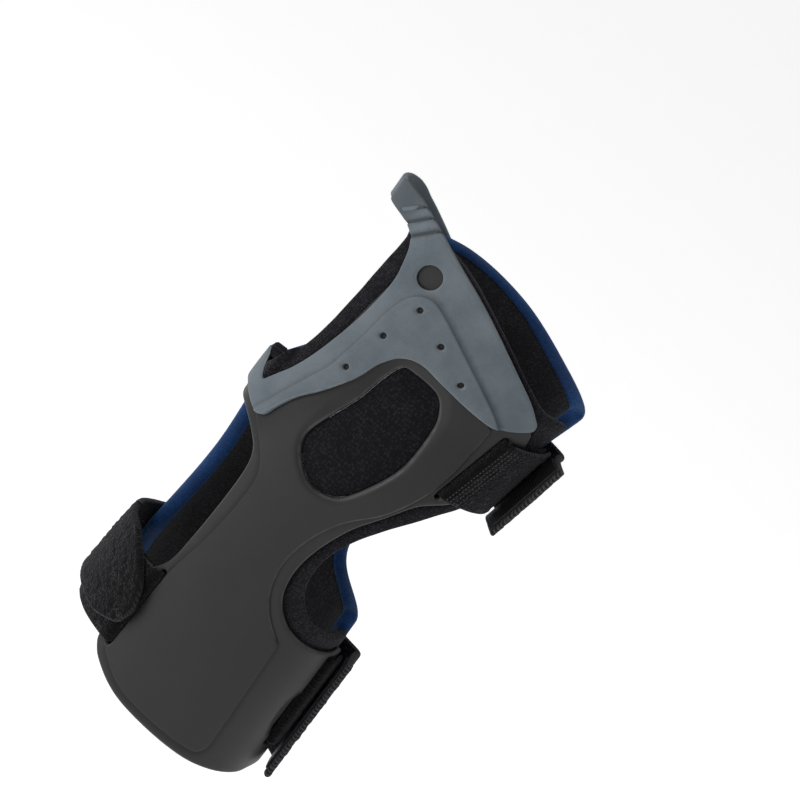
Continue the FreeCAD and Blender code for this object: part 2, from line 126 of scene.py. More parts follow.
def on_limb(s, z, out):
    """Points on a layer, from the length of surface round the limb and the height."""
    return on_section(looked_up(TURNS, TABLE_S, s, z), z, out)


def round_at(x, z, out, split, back=False):
    """Length round the limb of an outline point, held at the plane y = split."""
    x, z = np.asarray(x, float), np.asarray(z, float)
    cx, cy, half_width, half_depth = limb(z)
    share = np.minimum(np.abs(x - cx) / (half_width + out), 1)
    turn = np.arcsin(share ** (ROUNDNESS / 2))
    lift = np.clip((split - cy) / (half_depth + out), -1, 1)
    edge = np.arccos(-np.sign(lift) * np.abs(lift) ** (ROUNDNESS / 2))
    side = np.where(x < cx, -1.0, 1.0)
    if back:
        turn = np.where(share < 1, np.maximum(math.pi - turn, edge), edge)
        turn = np.where(side > 0, turn, 2 * math.pi - turn)
        return looked_up(LENGTHS, TABLE_TURN, turn, z)
    turn = np.where(share < 1, np.minimum(turn, edge), edge)
    return looked_up(LENGTHS, TABLE_TURN, side * turn, z)


# ---- outlines

FINE = 0.2      # between the points that an outline is worked out from
COARSE = 0.8    # between the points of a piece's border
BATCH = 2000    # points measured at a time, to save memory


def run_of(line):
    """Length along a line, at each of its points."""
    return np.concatenate([[0], np.cumsum(np.linalg.norm(np.diff(line, axis=0), axis=1))])


def respaced(line, step=None, shares=None):
    """Points along a line at even steps, or at given shares of its length."""
    lengths = run_of(line)
    if shares is None:
        shares = np.linspace(0, 1, max(int(round(lengths[-1] / step)), 1) + 1)
    at = np.asarray(shares) * lengths[-1]
    return np.stack([np.interp(at, lengths, line[:, k]) for k in range(line.shape[1])], axis=1)


def curve_through(points, step=FINE, closed=False):
    """Evenly spaced points on a smooth curve through the given ones."""
    p = np.asarray(points, float)
    if len(p) == 2:
        return respaced(p, step)
    if closed:
        p = np.vstack([p[-1:], p, p[:2]])
    else:
        p = np.vstack([2 * p[0] - p[1], p, 2 * p[-1] - p[-2]])
    t = np.linspace(0, 1, 24, endpoint=False)[:, None]
    fine = [0.5 * (2 * b + (c - a) * t + (2 * a - 5 * b + 4 * c - d) * t**2
                   + (3 * b - a - 3 * c + d) * t**3)
            for a, b, c, d in zip(p, p[1:], p[2:], p[3:])]
    return respaced(np.vstack(fine + [p[-2:-1]]), step)


def loop_of(runs):
    """Closed outline of straight and smooth runs, each from where the one before it ends."""
    return np.vstack([curve_through(before[-1:] + run)[:-1]
                      for before, run in zip(runs[-1:] + runs, runs)])


def even(loop, step=COARSE):
    return respaced(np.vstack([loop, loop[:1]]), step)[:-1]


def softened(loop, times, step=COARSE):
    """Outline with its corners rounded."""
    loop = even(loop, step)
    for _ in range(times):
        loop = 0.25 * np.roll(loop, 1, 0) + 0.5 * loop + 0.25 * np.roll(loop, -1, 0)
    return even(loop, step)


def to_surface(points, out, split=PALM_SPLIT, back=False):
    """Plan points turned into length round the limb and height."""
    points = np.asarray(points, float)
    s = round_at(points[:, 0], points[:, 1], out, split, back)
    return np.stack([s, points[:, 1]], axis=1)


def to_distance(points, line, closed=True):
    """Distance from each point to an outline or line."""
    a = line if closed else line[:-1]
    along = np.roll(line, -1, 0) - a if closed else line[1:] - a
    squared = np.maximum((along**2).sum(1), 1e-12)
    best = np.full(len(points), 1e9)
    for start in range(0, len(points), BATCH):
        p = points[start:start + BATCH, None, :] - a[None]
        t = np.clip((p * along[None]).sum(2) / squared[None], 0, 1)
        gap = p - t[..., None] * along[None]
        best[start:start + BATCH] = np.sqrt((gap**2).sum(2).min(1))
    return best


def is_inside(points, loop):
    inside = np.zeros(len(points), bool)
    ax, ay = loop[:, 0][None], loop[:, 1][None]
    bx, by = np.roll(loop[:, 0], -1)[None], np.roll(loop[:, 1], -1)[None]
    rise = np.where(by == ay, 1e-12, by - ay)
    for start in range(0, len(points), BATCH):
        x = points[start:start + BATCH, 0][:, None]
        y = points[start:start + BATCH, 1][:, None]
        hits = ((ay > y) != (by > y)) & (x < (bx - ax) * (y - ay) / rise + ax)
        inside[start:start + BATCH] = hits.sum(1) % 2 == 1
    return inside


def signed(points, loop):
    """Distance to an outline, positive inside it."""
    return np.where(is_inside(points, loop), 1, -1) * to_distance(points, loop)


def ramp(value, low, high):
    t = np.clip((value - low) / (high - low), 0, 1)
    return t * t * (3 - 2 * t)


def bump(value, width):
    return np.exp(-(value / width) ** 2)


def unit(vectors):
    return vectors / np.maximum(np.linalg.norm(vectors, axis=-1, keepdims=True), 1e-9)


def turned_left(loop):
    """The outline, counter-clockwise."""
    after = np.roll(loop, -1, 0)
    area = (loop[:, 0] * after[:, 1] - after[:, 0] * loop[:, 1]).sum()
    return loop if area > 0 else loop[::-1]


def left_of(line, closed=True):
    """Unit normals to the left of a line."""
    along = np.roll(line, -1, 0) - np.roll(line, 1, 0) if closed else np.gradient(line, axis=0)
    return unit(along)[:, ::-1] * (-1, 1)


def inset(loop, distance):
    """Outline moved inwards by a distance."""
    loop = turned_left(loop)
    moved = loop + distance * left_of(loop)
    keep = (to_distance(moved, loop) > 0.96 * distance) & is_inside(moved, loop)
    return even(moved[keep])


def value_noise(points, size, seed):
    """Smooth random values between about -1 and 1 over the plane, in two octaves."""
    total = np.zeros(len(points))
    for octave in range(2):
        scaled = points / size * 2**octave
        cell = np.floor(scaled).astype(np.int64)
        part = scaled - cell
        part = part * part * (3 - 2 * part)
        corner = []
        for dx, dz in ((0, 0), (1, 0), (0, 1), (1, 1)):
            key = (cell[:, 0] + dx) * 73856093 ^ (cell[:, 1] + dz) * 19349663
            key ^= (seed + octave) * 83492791
            key = (key ^ (key >> 13)) & 0x7FFFFFFF
            key = (key * 48271) & 0x7FFFFFFF
            key = (key ^ (key >> 11)) * 69621 & 0x7FFFFFFF
            corner.append((key >> 7 & 0xFFFF) / 32767.5 - 1)
        low = corner[0] + (corner[1] - corner[0]) * part[:, 0]
        high = corner[2] + (corner[3] - corner[2]) * part[:, 0]
        total += (low + (high - low) * part[:, 1]) / 2**octave
    return total


# ---- closed pieces

ROUND_ROWS = (0.08, 0.3, 0.62)  # rows of points across a rounded edge, as shares of its radius
# The underside counts as further from the rim, so a pale rim (wear plus painted highlight on
# moulded pieces) fades down the wall.
WALL_FADE = 0.8     # how much further from the rim the underside's points count
THINNEST = 0.03


def border_distance(points, loops):
    return np.min([to_distance(points, loop) for loop in loops], axis=0)


def in_domain(points, loops):
    good = is_inside(points, loops[0])
    for hole in loops[1:]:
        good &= ~is_inside(points, hole)
    return good


def rounded(edge, radius):
    """How far a rounded edge falls away, by the distance from the border."""
    if not radius:
        return 0 * edge
    inward = np.clip(radius - edge, 0, radius)
    return radius - np.sqrt(np.maximum(radius**2 - inward**2, 0))


def scattered(loops, grid, rings, lines):
    """Points of a piece: its borders, rows beside them and beside its features, and a grid."""
    keep = [np.vstack(loops)]
    for loop in loops:
        normal = left_of(loop)
        for depth in rings:
            row = loop + normal * depth
            keep.append(row[border_distance(row, loops) > 0.9 * depth])
    last = rings[-1] if rings else 0
    for line, offsets, closed in lines:
        normal = left_of(line, closed)
        for depth in offsets:
            row = line + normal * depth
            row = row[(to_distance(row, line, closed) > 0.9 * abs(depth)) & in_domain(row, loops)]
            keep.append(row[border_distance(row, loops) > last + 0.2])
    low, high = loops[0].min(0), loops[0].max(0)
    nx, nz = np.maximum(((high - low) / grid).astype(int), 1)
    gx, gz = np.meshgrid(np.linspace(low[0], high[0], nx + 1),
                         np.linspace(low[1], high[1], nz + 1))
    gx[1::2] += grid * 0.5
    cloud = np.stack([gx.ravel(), gz.ravel()], axis=1)
    cloud = cloud[in_domain(cloud, loops)]
    cloud = cloud[border_distance(cloud, loops) > last + 0.45 * grid]
    for line, offsets, closed in lines:
        reach = max(abs(depth) for depth in offsets) + 0.4 * grid
        cloud = cloud[to_distance(cloud, line, closed) > reach]
    keep.append(cloud)
    return np.vstack(keep)


def sheet_body(name, outline, low, high, material, radius, low_radius=None, grid=1.0, holes=(),
               lines=(), marks=None):
    """Closed body between two layers over an outline, with rounded edges.

    low and high are distances out from the skin, or functions of the points and of their
    distance to the edge. lines are features that get rows of points beside them, and marks
    are functions whose values the material reads.
    """
    low_radius = radius if low_radius is None else low_radius
    loops = [turned_left(outline)] + [turned_left(hole)[::-1] for hole in holes]
    rings = [radius * share for share in (*ROUND_ROWS, 1)] if radius else []
    flat = scattered(loops, grid, rings, lines)
    sides, start = [], 0
    for loop in loops:
        count = len(loop)
        sides += [(start + i, start + (i + 1) % count) for i in range(count)]
        start += count
    result = geometry.delaunay_2d_cdt([Vector(p) for p in flat], sides, [], 0, 1e-5)
    flat = np.array([tuple(v) for v in result[0]])
    faces = np.array([f for f in result[2] if len(f) == 3])
    a, b, c = flat[faces[:, 0]], flat[faces[:, 1]], flat[faces[:, 2]]
    b, c = b - a, c - a
    area = b[:, 0] * c[:, 1] - c[:, 0] * b[:, 1]
    faces = np.where(area[:, None] < 0, faces[:, ::-1], faces)
    faces = faces[(np.abs(area) > 1e-9) & in_domain(flat[faces].mean(1), loops)]
    used = np.unique(faces)
    index = np.full(len(flat), -1)
    index[used] = np.arange(len(used))
    flat, faces = flat[used], index[faces]
    edge = border_distance(flat, loops)
    top, bottom = (level(flat, edge) if callable(level) else np.full(len(flat), float(level))
                   for level in (high, low))
    top = top - rounded(edge, radius)
    bottom = np.minimum(bottom + rounded(edge, low_radius), top - THINNEST)
    count = len(flat)
    points = np.vstack([on_limb(flat[:, 0], flat[:, 1], out) for out in (top, bottom)])
    around = np.vstack([faces[:, [0, 1]], faces[:, [1, 2]], faces[:, [2, 0]]])
    keys = set(map(tuple, around.tolist()))
    rim = [(p, q) for p, q in sorted(keys) if (q, p) not in keys]
    polygons = [tuple(f) for f in faces.tolist()]
    polygons += [(c + count, b + count, a + count) for a, b, c in faces.tolist()]
    polygons += [(q, p, p + count, q + count) for p, q in rim]
    values = {key: np.tile(mark(flat, edge), 2) for key, mark in (marks or {}).items()}
    values.setdefault("edge", np.tile(edge, 2))[count:] += WALL_FADE
    return piece(name, points, polygons, material, np.vstack([flat, flat]), values)


def stops(length, step, radius):
    """Positions along a length, closer together by its rounded ends."""
    start, end = radius, length - radius
    middle = np.linspace(start, end, max(int(round((end - start) / step)), 1) + 1)
    tight = radius * np.array((0, *ROUND_ROWS))
    return np.concatenate([tight, middle, length - tight[::-1]])


def grid_body(name, middle, thickness, material, along, across, radius, rough=0.0, seed=0,
              shade=None):
    """Closed body of a strap round the middle of its thickness, with rounded edges."""
    normal = unit(np.cross(np.gradient(middle, axis=0), np.gradient(middle, axis=1)))
    a, b = np.meshgrid(along, across, indexing="ij")
    edge = np.min([b - across[0], across[-1] - b, a - along[0], along[-1] - a], axis=0)
    half = thickness / 2 * (1 - rounded(edge, radius) / radius)
    flat = np.stack([a.ravel(), b.ravel()], axis=1)
    soft = rough * np.clip(edge / radius, 0, 1)
    tops, lows = (half + soft * value_noise(flat, 0.9, first).reshape(a.shape)
                  for first in (seed, seed + 50))
    points = np.vstack([(middle + normal * np.maximum(tops, THINNEST)[..., None]).reshape(-1, 3),
                        (middle - normal * np.maximum(lows, THINNEST)[..., None]).reshape(-1, 3)])
    index = np.arange(a.size).reshape(a.shape)
    quads = np.stack([index[:-1, :-1], index[1:, :-1], index[1:, 1:], index[:-1, 1:]], axis=-1)
    quads = quads.reshape(-1, 4)
    border = np.concatenate([index[:, 0], index[-1, 1:], index[-2::-1, -1], index[0, -2:0:-1]])
    after = np.roll(border, -1)
    rim = np.stack([after, border, border + a.size, after + a.size], axis=1)
    polygons = np.vstack([quads, quads[:, ::-1] + a.size, rim]).tolist()
    values = {"edge": np.tile(edge.ravel(), 2)}
    # shade gives painted shade, kept in the line mark that the material darkens by.
    if shade is not None:
        values["line"] = np.tile(shade(a, b).ravel(), 2)
    return piece(name, points, polygons, material, np.vstack([flat, flat]), values)


def between(*pairs):
    """Value by the share of a strap's length, from (share, value) pairs."""
    shares, values = zip(*pairs)
    return lambda share: np.interp(share, shares, values)


def edge_heights(level):
    return level if callable(level) else between((0, level))


def strap(name, path_at, low, high, thickness, material, radius, step=0.65, **options):
    """Strap that goes round the limb. path_at gives its line at a height, as x and y; low and
    high are its edges' heights, as numbers or by the share of its length."""
    low, high = edge_heights(low), edge_heights(high)
    length = run_of(path_at((low(0.5) + high(0.5)) / 2))[-1]
    share = np.linspace(0, 1, 9)
    width = float(np.mean(high(share) - low(share)))
    along, across = stops(length, step, radius), stops(width, step, radius)
    share = along / length
    bottom, top = low(share), high(share)
    heights = bottom[:, None] + across[None] / width * (top - bottom)[:, None]
    levels = np.linspace(heights.min(), heights.max(), 25)
    table = np.array([respaced(path_at(level), shares=share) for level in levels])
    plan = [[np.interp(row, levels, table[:, i, k]) for i, row in enumerate(heights)]
            for k in (0, 1)]
    middle = np.stack([*np.array(plan), heights], axis=-1)
    return grid_body(name, middle, thickness, material, along, across - width / 2, radius,
                     **options)


def piece(name, points, polygons, material, flat=None, values=None):
    """Mesh object from points in millimetres."""
    mesh = bpy.data.meshes.new(name)
    mesh.from_pydata((np.asarray(points) * MM).tolist(), [], polygons)
    if flat is not None:
        layer = mesh.attributes.new("flat", "FLOAT_VECTOR", "POINT")
        layer.data.foreach_set("vector", np.column_stack([flat, np.zeros(len(flat))]).ravel())
    for key, value in (values or {}).items():
        layer = mesh.attributes.new(key, "FLOAT", "POINT")
        layer.data.foreach_set("value", np.asarray(value, float))
    work = bmesh.new()
    work.from_mesh(mesh)
    bmesh.ops.recalc_face_normals(work, faces=work.faces)
    work.to_mesh(mesh)
    work.free()
    mesh.shade_smooth()
    mesh.materials.append(material)
    thing = bpy.data.objects.new(name, mesh)
    bpy.context.scene.collection.objects.link(thing)
    return thing


def tube_quads(rows, columns, closed=False):
    """Faces of a tube whose points are rows round it; closed joins its ends."""
    here = np.arange(rows * columns).reshape(rows, columns)
    above = np.roll(here, -1, 0)
    quads = np.stack([here, np.roll(here, -1, 1), np.roll(above, -1, 1), above], axis=-1)
    return quads[:None if closed else -1].reshape(-1, 4)


def stitches(name, rows, out, radius, pitch=3.1, length=2.2):
    """Separate stitches along rows of the surface, each a short thread that dips into the
    cloth at both ends."""
    points, polygons, sides = [], [], 7
    steps = np.linspace(0, 1, 7)
    thick = radius * np.array([0.35, 0.8, 1, 1, 1, 0.8, 0.35])[:, None, None]
    lift = out - 0.25 * radius + 1.1 * radius * np.sin(math.pi * steps) ** 0.6
    turns = 2 * math.pi * np.arange(sides)[None, :, None] / sides
    quads = tube_quads(len(steps), sides)
    cap = np.arange(sides)
    for line in rows:
        line = respaced(np.asarray(line, float), 0.5)
        total = run_of(line)[-1]
        for k in range(int(total // pitch)):
            at = respaced(line, shares=(k * pitch + steps * length) / total)
            centre = on_limb(at[:, 0], at[:, 1], lift)
            up = unit(on_limb(at[:, 0], at[:, 1], lift + 1) - centre)
            side = unit(np.cross(np.gradient(centre, axis=0), up))
            base = len(points)
            round_it = np.cos(turns) * side[:, None] + np.sin(turns) * up[:, None]
            points.extend((centre[:, None] + thick * round_it).reshape(-1, 3))
            polygons += (quads + base).tolist()
            polygons += [(base + cap[::-1]).tolist(), (len(points) - sides + cap).tolist()]
    return piece(name, points, polygons, THREAD)


# ---- materials

class Value:
    """A node's output. + and * make Math nodes, with numbers or other values."""

    def __init__(self, tree, socket):
        self.tree, self.socket = tree, socket

    def __add__(self, other):
        return maths(self.tree, "ADD", self, other)

    def __mul__(self, other):
        return maths(self.tree, "MULTIPLY", self, other)

    def spread(self, low, high, to_low=0.0, to_high=1.0):
        """The value from one range turned into another, with soft ends."""
        inputs = {"Value": self, "From Min": low, "From Max": high, "To Min": to_low,
                  "To Max": to_high}
        return node(self.tree, "MapRange", inputs, "Result", interpolation_type="SMOOTHSTEP")

    def mix(self, first, second):
        """Colour between two others, by this share of the second."""
        first, second = (c if isinstance(c, Value) else (*c, 1) for c in (first, second))
        return node(self.tree, "Mix", {0: self, 6: first, 7: second}, 2, data_type="RGBA")


def node(tree, kind, inputs=None, output=0, **settings):
    """Output of a new shader node; inputs are numbers or values, by name or number."""
    new = tree.nodes.new("ShaderNode" + kind)
    for key, value in settings.items():
        setattr(new, key, value)
    for key, value in (inputs or {}).items():
        if isinstance(value, Value):
            tree.links.new(value.socket, new.inputs[key])
        else:
            new.inputs[key].default_value = value
    return Value(tree, new.outputs[output])


def maths(tree, operation, *values):
    return node(tree, "Math", dict(enumerate(values)), operation=operation)


def attribute(tree, name, output="Fac"):
    return node(tree, "Attribute", output=output, attribute_name=name)


def noise(where, scale, detail=2.0, roughness=0.5):
    inputs = {"Vector": where, "Scale": scale, "Detail": detail, "Roughness": roughness}
    return node(where.tree, "TexNoise", inputs, "Fac")


def cells(where, scale, randomness):
    inputs = {"Vector": where, "Scale": scale, "Randomness": randomness}
    return node(where.tree, "TexVoronoi", inputs, "Distance")


def wave(value, pitch):
    return maths(value.tree, "SINE", value * (2 * math.pi / pitch))


def x_and_y(where):
    return [node(where.tree, "SeparateXYZ", {0: where}, k) for k in (0, 1)]


def scaled_colour(colour, factor):
    return tuple(c * factor for c in colour)


def new_material(name, roughness, **shader):
    """Material and its Principled shader, with settings on the shader's own sockets."""
    material = bpy.data.materials.new(name)
    material.use_nodes = True
    bsdf = material.node_tree.nodes["Principled BSDF"]
    bsdf.inputs["Roughness"].default_value = roughness
    for key, value in shader.items():
        is_colour = isinstance(value, tuple) and len(value) == 3
        bsdf.inputs[key.replace("_", " ")].default_value = (*value, 1) if is_colour else value
    return material, material.node_tree, bsdf


def finished(material, bsdf, colour, height, depth, rough=None):
    """The material with its colour, its bump in millimetres and its roughness."""
    tree = material.node_tree
    bump_inputs = {"Height": height, "Distance": depth * MM, "Strength": 1.0}
    normal = node(tree, "Bump", bump_inputs, "Normal")
    for key, value in (("Base Color", colour), ("Normal", normal), ("Roughness", rough)):
        if value is not None:
            tree.links.new(value.socket, bsdf.inputs[key])
    return material


def in_mm(tree):
    """Object position in millimetres."""
    where = node(tree, "TexCoord", output="Object")
    return node(tree, "VectorMath", {0: where, "Scale": 1000.0}, operation="SCALE")


def moulded(name, dark, light, wear_and_highlight_colour, roughness, grain, edge_width, mottle=0.35):
    """Moulded plastic or rubber: fine grain, soft mottling, rims paler from wear and from a painted
    highlight, and painted shade where the line mark is set.
    """
    material, tree, bsdf = new_material(name, roughness, Specular_IOR_Level=0.36)
    where = in_mm(tree)
    fine = noise(where, 2.4, 3, 0.6)
    tone = noise(where, 0.055, 4, 0.6) * 0.75 + fine * 0.25
    colour = tone.spread(0.5 - mottle, 0.5 + mottle).mix(dark, light)
    # Paler rims: partly wear, partly a painted highlight along rounded edges and crests.
    wear_and_highlight = attribute(tree, "edge").spread(0.1, edge_width, 1.0, 0.0)
    patchy = wear_and_highlight * noise(where, 0.35, 3).spread(0.3, 0.65, 0.45, 1)
    colour = patchy.mix(colour, wear_and_highlight_colour)
    # Painted shade: darker where the line mark is set, in grooves, recesses and shaded sides.
    colour = (attribute(tree, "line") * 0.85).mix(colour, scaled_colour(dark, 0.2))
    rough = tone.spread(0.3, 0.7, roughness - 0.05, roughness + 0.07)
    height = fine * 0.6 + noise(where, 5.5, 2, 0.5) * 0.4
    return finished(material, bsdf, colour, height, grain, rough)


def knitted(name, dark, light, pitch, depth, sheen, roughness=0.92, stretch=1.0):
    """Brushed knit: rows of small loops, broken up by fuzz, over the piece's flat plan."""
    tint = tuple(min(c * 6 + 0.25, 1) for c in light)
    material, tree, bsdf = new_material(name, roughness, Sheen_Weight=sheen, Sheen_Roughness=0.45,
                                        Sheen_Tint=tint, Specular_IOR_Level=0.2)
    plan = attribute(tree, "flat", "Vector")
    bent = node(tree, "VectorMath", {0: plan, 1: noise(plan, 0.5)}, operation="ADD")
    size = (1 / pitch, 1 / (pitch * stretch), 1.0)
    shaped = node(tree, "VectorMath", {0: bent, 1: size}, operation="MULTIPLY")
    cell = cells(shaped, 1.0, 0.55).spread(0.15, 0.6, 1.0, 0.0)
    fuzz = noise(plan, 3.2, 4, 0.7)
    share = (cell * 0.45 + fuzz * 0.55) * noise(plan, 0.09, 3, 0.6).spread(0.3, 0.7, 0.7, 1.15)
    colour = share.spread(0.2, 0.8).mix(dark, light)
    return finished(material, bsdf, colour, cell * 0.6 + fuzz * 0.5, depth)


def pile(name, dark, light):
    """Loop pile: a mat of tiny hooks of thread, paler where it is rubbed and on its rim."""
    material, tree, bsdf = new_material(name, 0.9, Sheen_Weight=0.22, Sheen_Roughness=0.4,
                                        Sheen_Tint=(0.5, 0.5, 0.55), Specular_IOR_Level=0.2)
    plan = attribute(tree, "flat", "Vector")
    tuft = cells(plan, 1.25, 0.9).spread(0.05, 0.65, 1.0, 0.0)
    threads = noise(plan, 4.0, 5, 0.75)
    rubbed = noise(plan, 0.16, 3, 0.6).spread(0.4, 0.68)
    share = tuft * threads * 1.6 * rubbed.spread(0, 1, 0.45, 1.3)
    colour = share.spread(0.1, 0.9).mix(dark, light)
    x, y = x_and_y(plan)
    ribs = wave(x + y, 1.2).spread(-0.5, 0.8, 0.15, 1.0)
    rim = attribute(tree, "edge").spread(0.1, 0.75, 0.8, 0.0)
    colour = (rim * ribs).mix(colour, scaled_colour(light, 1.7))
    # Darker where the line mark is set: painted shade where webbing leaves its slot, and the radial
    # tab's darker edge.
    colour = attribute(tree, "line").mix(colour, scaled_colour(dark, 0.3))
    return finished(material, bsdf, colour, tuft * 0.6 + threads * 0.8, 0.5)


def hooked(name, dark, light):
    """Hook tape: close rows of moulded hooks."""
    material, tree, bsdf = new_material(name, 0.5, Specular_IOR_Level=0.4)
    plan = attribute(tree, "flat", "Vector")
    across, along = (wave(axis, pitch).spread(-0.2, 0.8)
                     for axis, pitch in zip(x_and_y(plan), (1.1, 0.9)))
    dots = across * along
    fuzz = noise(plan, 2.5, 3)
    colour = (dots * fuzz.spread(0.3, 0.7, 0.5, 1)).mix(dark, light)
    return finished(material, bsdf, colour, dots + fuzz * 0.2, 0.4)


def plain_grain(name, dark, light, roughness, scale, depth, **shader):
    """Solid colour with fine variation, for parts that carry no flat plan."""
    material, tree, bsdf = new_material(name, roughness, **shader)
    where = in_mm(tree)
    grain = noise(where, scale, 4, 0.6)
    rough = noise(where, scale * 0.2, 3).spread(0.3, 0.7, roughness - 0.06, roughness + 0.08)
    return finished(material, bsdf, grain.spread(0.3, 0.7).mix(dark, light), grain, depth, rough)


# The third colour is the rims' colour: pale from wear and from a painted highlight.
SHELL_PLASTIC = moulded("shell_plastic", (0.017, 0.0165, 0.0165), (0.025, 0.0245, 0.0245),
                        (0.075, 0.075, 0.076), 0.44, 0.06, 0.9)
OVERLAY_RUBBER = moulded("overlay_rubber", (0.08, 0.104, 0.122), (0.148, 0.177, 0.2),
                         (0.19, 0.213, 0.23), 0.55, 0.04, 0.55, 0.22)
LINER_KNIT = knitted("liner_knit", (0.006, 0.0058, 0.008), (0.024, 0.0232, 0.029), 0.8, 0.3, 0.22)
WINDOW_KNIT = knitted("window_knit", (0.004, 0.004, 0.0055), (0.017, 0.0165, 0.021), 0.9, 0.4,
                      0.2, stretch=1.5)
LINING_KNIT = knitted("lining_knit", (0.012, 0.012, 0.014), (0.03, 0.03, 0.034), 0.9, 0.25, 0.2)
DORSAL_KNIT = knitted("dorsal_knit", (0.001, 0.017, 0.07), (0.003, 0.045, 0.17), 0.55, 0.12,
                      0.25, 0.7)
BINDING_KNIT = knitted("binding_knit", (0.001, 0.02, 0.08), (0.003, 0.05, 0.19), 0.5, 0.1, 0.3,
                       0.6)
MESH_KNIT = knitted("mesh_knit", (0.012, 0.012, 0.014), (0.045, 0.045, 0.052), 0.5, 0.15, 0.2)
LOOP_PILE = pile("loop_pile", (0.002, 0.002, 0.0024), (0.042, 0.041, 0.044))
HOOK_TAPE = hooked("hook_tape", (0.0022, 0.0022, 0.0025), (0.014, 0.014, 0.015))
THREAD = plain_grain("thread", (0.03, 0.031, 0.033), (0.085, 0.087, 0.09), 0.7, 6.0, 0.05)
STAY_METAL = plain_grain("stay_metal", (0.55, 0.56, 0.58), (0.75, 0.76, 0.78), 0.32, 1.5, 0.01,
                         Metallic=1.0)
STAY_DIP = plain_grain("stay_dip", (0.03, 0.03, 0.03), (0.06, 0.06, 0.06), 0.6, 1.2, 0.03)

# ---- camera, floor and lights

ELEVATION = math.radians(16)
ROLL = math.radians(37)
TARGET = Vector((-3.2, 0, 49.1)) * MM
DISTANCE = 1.6
VIEW_WIDTH = 242.4 * MM
SENSOR = 36.0
FLOOR_Z = -0.26
FLOOR_HALF = 14.0
STUDIO_DIM, STUDIO_BRIGHT = 0.16, 0.75
WALL_SIDE = (-0.88, -0.42, 0.22)
AIM = Vector((0, 0, 0.02))


def placed(name, data):
    thing = bpy.data.objects.new(name, data)
    bpy.context.scene.collection.objects.link(thing)
    return thing


look = Vector((0, math.cos(ELEVATION), -math.sin(ELEVATION)))
upright = Vector((0, math.sin(ELEVATION), math.cos(ELEVATION)))
right = Vector((1, 0, 0))
camera_up = math.cos(ROLL) * upright - math.sin(ROLL) * right
camera_right = math.cos(ROLL) * right + math.sin(ROLL) * upright
camera_data = bpy.data.cameras.new("camera")
camera_data.sensor_width = SENSOR
camera_data.lens = SENSOR * DISTANCE / VIEW_WIDTH
camera_data.clip_end = 60
camera = placed("camera", camera_data)
facing = Matrix((camera_right, camera_up, -look)).transposed().to_4x4()
camera.matrix_world = Matrix.Translation(TARGET - look * DISTANCE) @ facing
bpy.context.scene.camera = camera
bpy.context.scene.view_settings.view_transform = "Standard"

floor_material, tree, bsdf = new_material("floor", 0.8, Specular_IOR_Level=0.2)
paper = noise(node(tree, "TexCoord", output="Object"), 40, 4)
tree.links.new(paper.mix((0.9, 0.9, 0.9), (0.94, 0.94, 0.94)).socket, bsdf.inputs["Base Color"])
bsdf.inputs["Emission Color"].default_value = (1, 1, 1, 1)
bsdf.inputs["Emission Strength"].default_value = 0.55
floor_mesh = bpy.data.meshes.new("floor")
floor_mesh.from_pydata([(x * FLOOR_HALF, y * FLOOR_HALF, FLOOR_Z)
                        for x, y in ((-1, -1), (1, -1), (1, 1), (-1, 1))], [], [(0, 1, 2, 3)])
floor_mesh.materials.append(floor_material)
placed("floor", floor_mesh)

# The studio: white where the camera looks, dimmer for the light it gives, with a broad
# bright wall on the thumb side.
world = bpy.data.worlds.new("world")
bpy.context.scene.world = world
world.use_nodes = True
tree = world.node_tree
background = tree.nodes["Background"]
background.inputs["Color"].default_value = (1, 1, 1, 1)
toward = node(tree, "TexCoord", output="Generated")
wall = node(tree, "VectorMath", {0: toward, 1: WALL_SIDE}, "Value",
            operation="DOT_PRODUCT").spread(-0.3, 0.95, STUDIO_DIM, STUDIO_BRIGHT)
seen = node(tree, "LightPath", output="Is Camera Ray")
strength = seen + maths(tree, "SUBTRACT", 1.0, seen) * wall
tree.links.new(strength.socket, background.inputs["Strength"])

# (name, place, size, power): a key from the palm side and thumb side, a low one at the
# little-finger side, and a broad one over the back.
for name, place, size, power in (("key", (-1.15, -0.85, 0.55), 0.6, 5.0),
                                 ("side", (1.0, 0.3, 0.1), 0.25, 0.5),
                                 ("top", (0.1, 0.5, 1.3), 0.8, 4.0)):
    lamp = bpy.data.lights.new(name, "AREA")
    lamp.energy, lamp.size = power, size
    thing = placed(name, lamp)
    thing.location = place
    thing.rotation_euler = (AIM - Vector(place)).to_track_quat("-Z", "Y").to_euler()

# ---- outlines, as x and z

# Each run starts where the one before it ends, the first run where the last one ends.
SHELL_RUNS = [
    [(-35.5, -50), (-34.5, -37), (-30.2, -28), (-29.2, -20), (-28.5, -7), (-28.5, 7), (-30, 14.2),
     (-34.5, 18.5), (-39, 21), (-43, 22), (-52, 22.5)],
    [(-52, 37.5)],
    [(-44, 36.8), (-41.8, 33), (-40.3, 29.3)],
    [(-37.5, 33.5), (-34.8, 39.5), (-32.5, 46.5), (-30.8, 53.5), (-29.2, 62), (-28, 71),
     (-26.5, 80), (-25.2, 87), (-23, 92.3), (-18.6, 94.4), (-13.6, 92.4), (-9, 88), (-3, 84)],
    [(12, 77.5), (30, 70.5), (35.5, 68)],
    [(36.5, 58), (33.5, 45), (29, 37), (25, 34), (20.5, 30.5), (15, 22.5), (9, 13.8), (4.5, 2.8),
     (3, -6.3), (4.5, -14.5), (9, -20.2), (15, -23.6), (22, -25.2), (30, -25.6)],
    [(50, -25.6)],
    [(50, -64)],
    [(30, -70), (26, -73), (18, -74.6), (6, -74.6), (-17, -71.5), (-29.5, -66.3), (-34, -61.9)]]
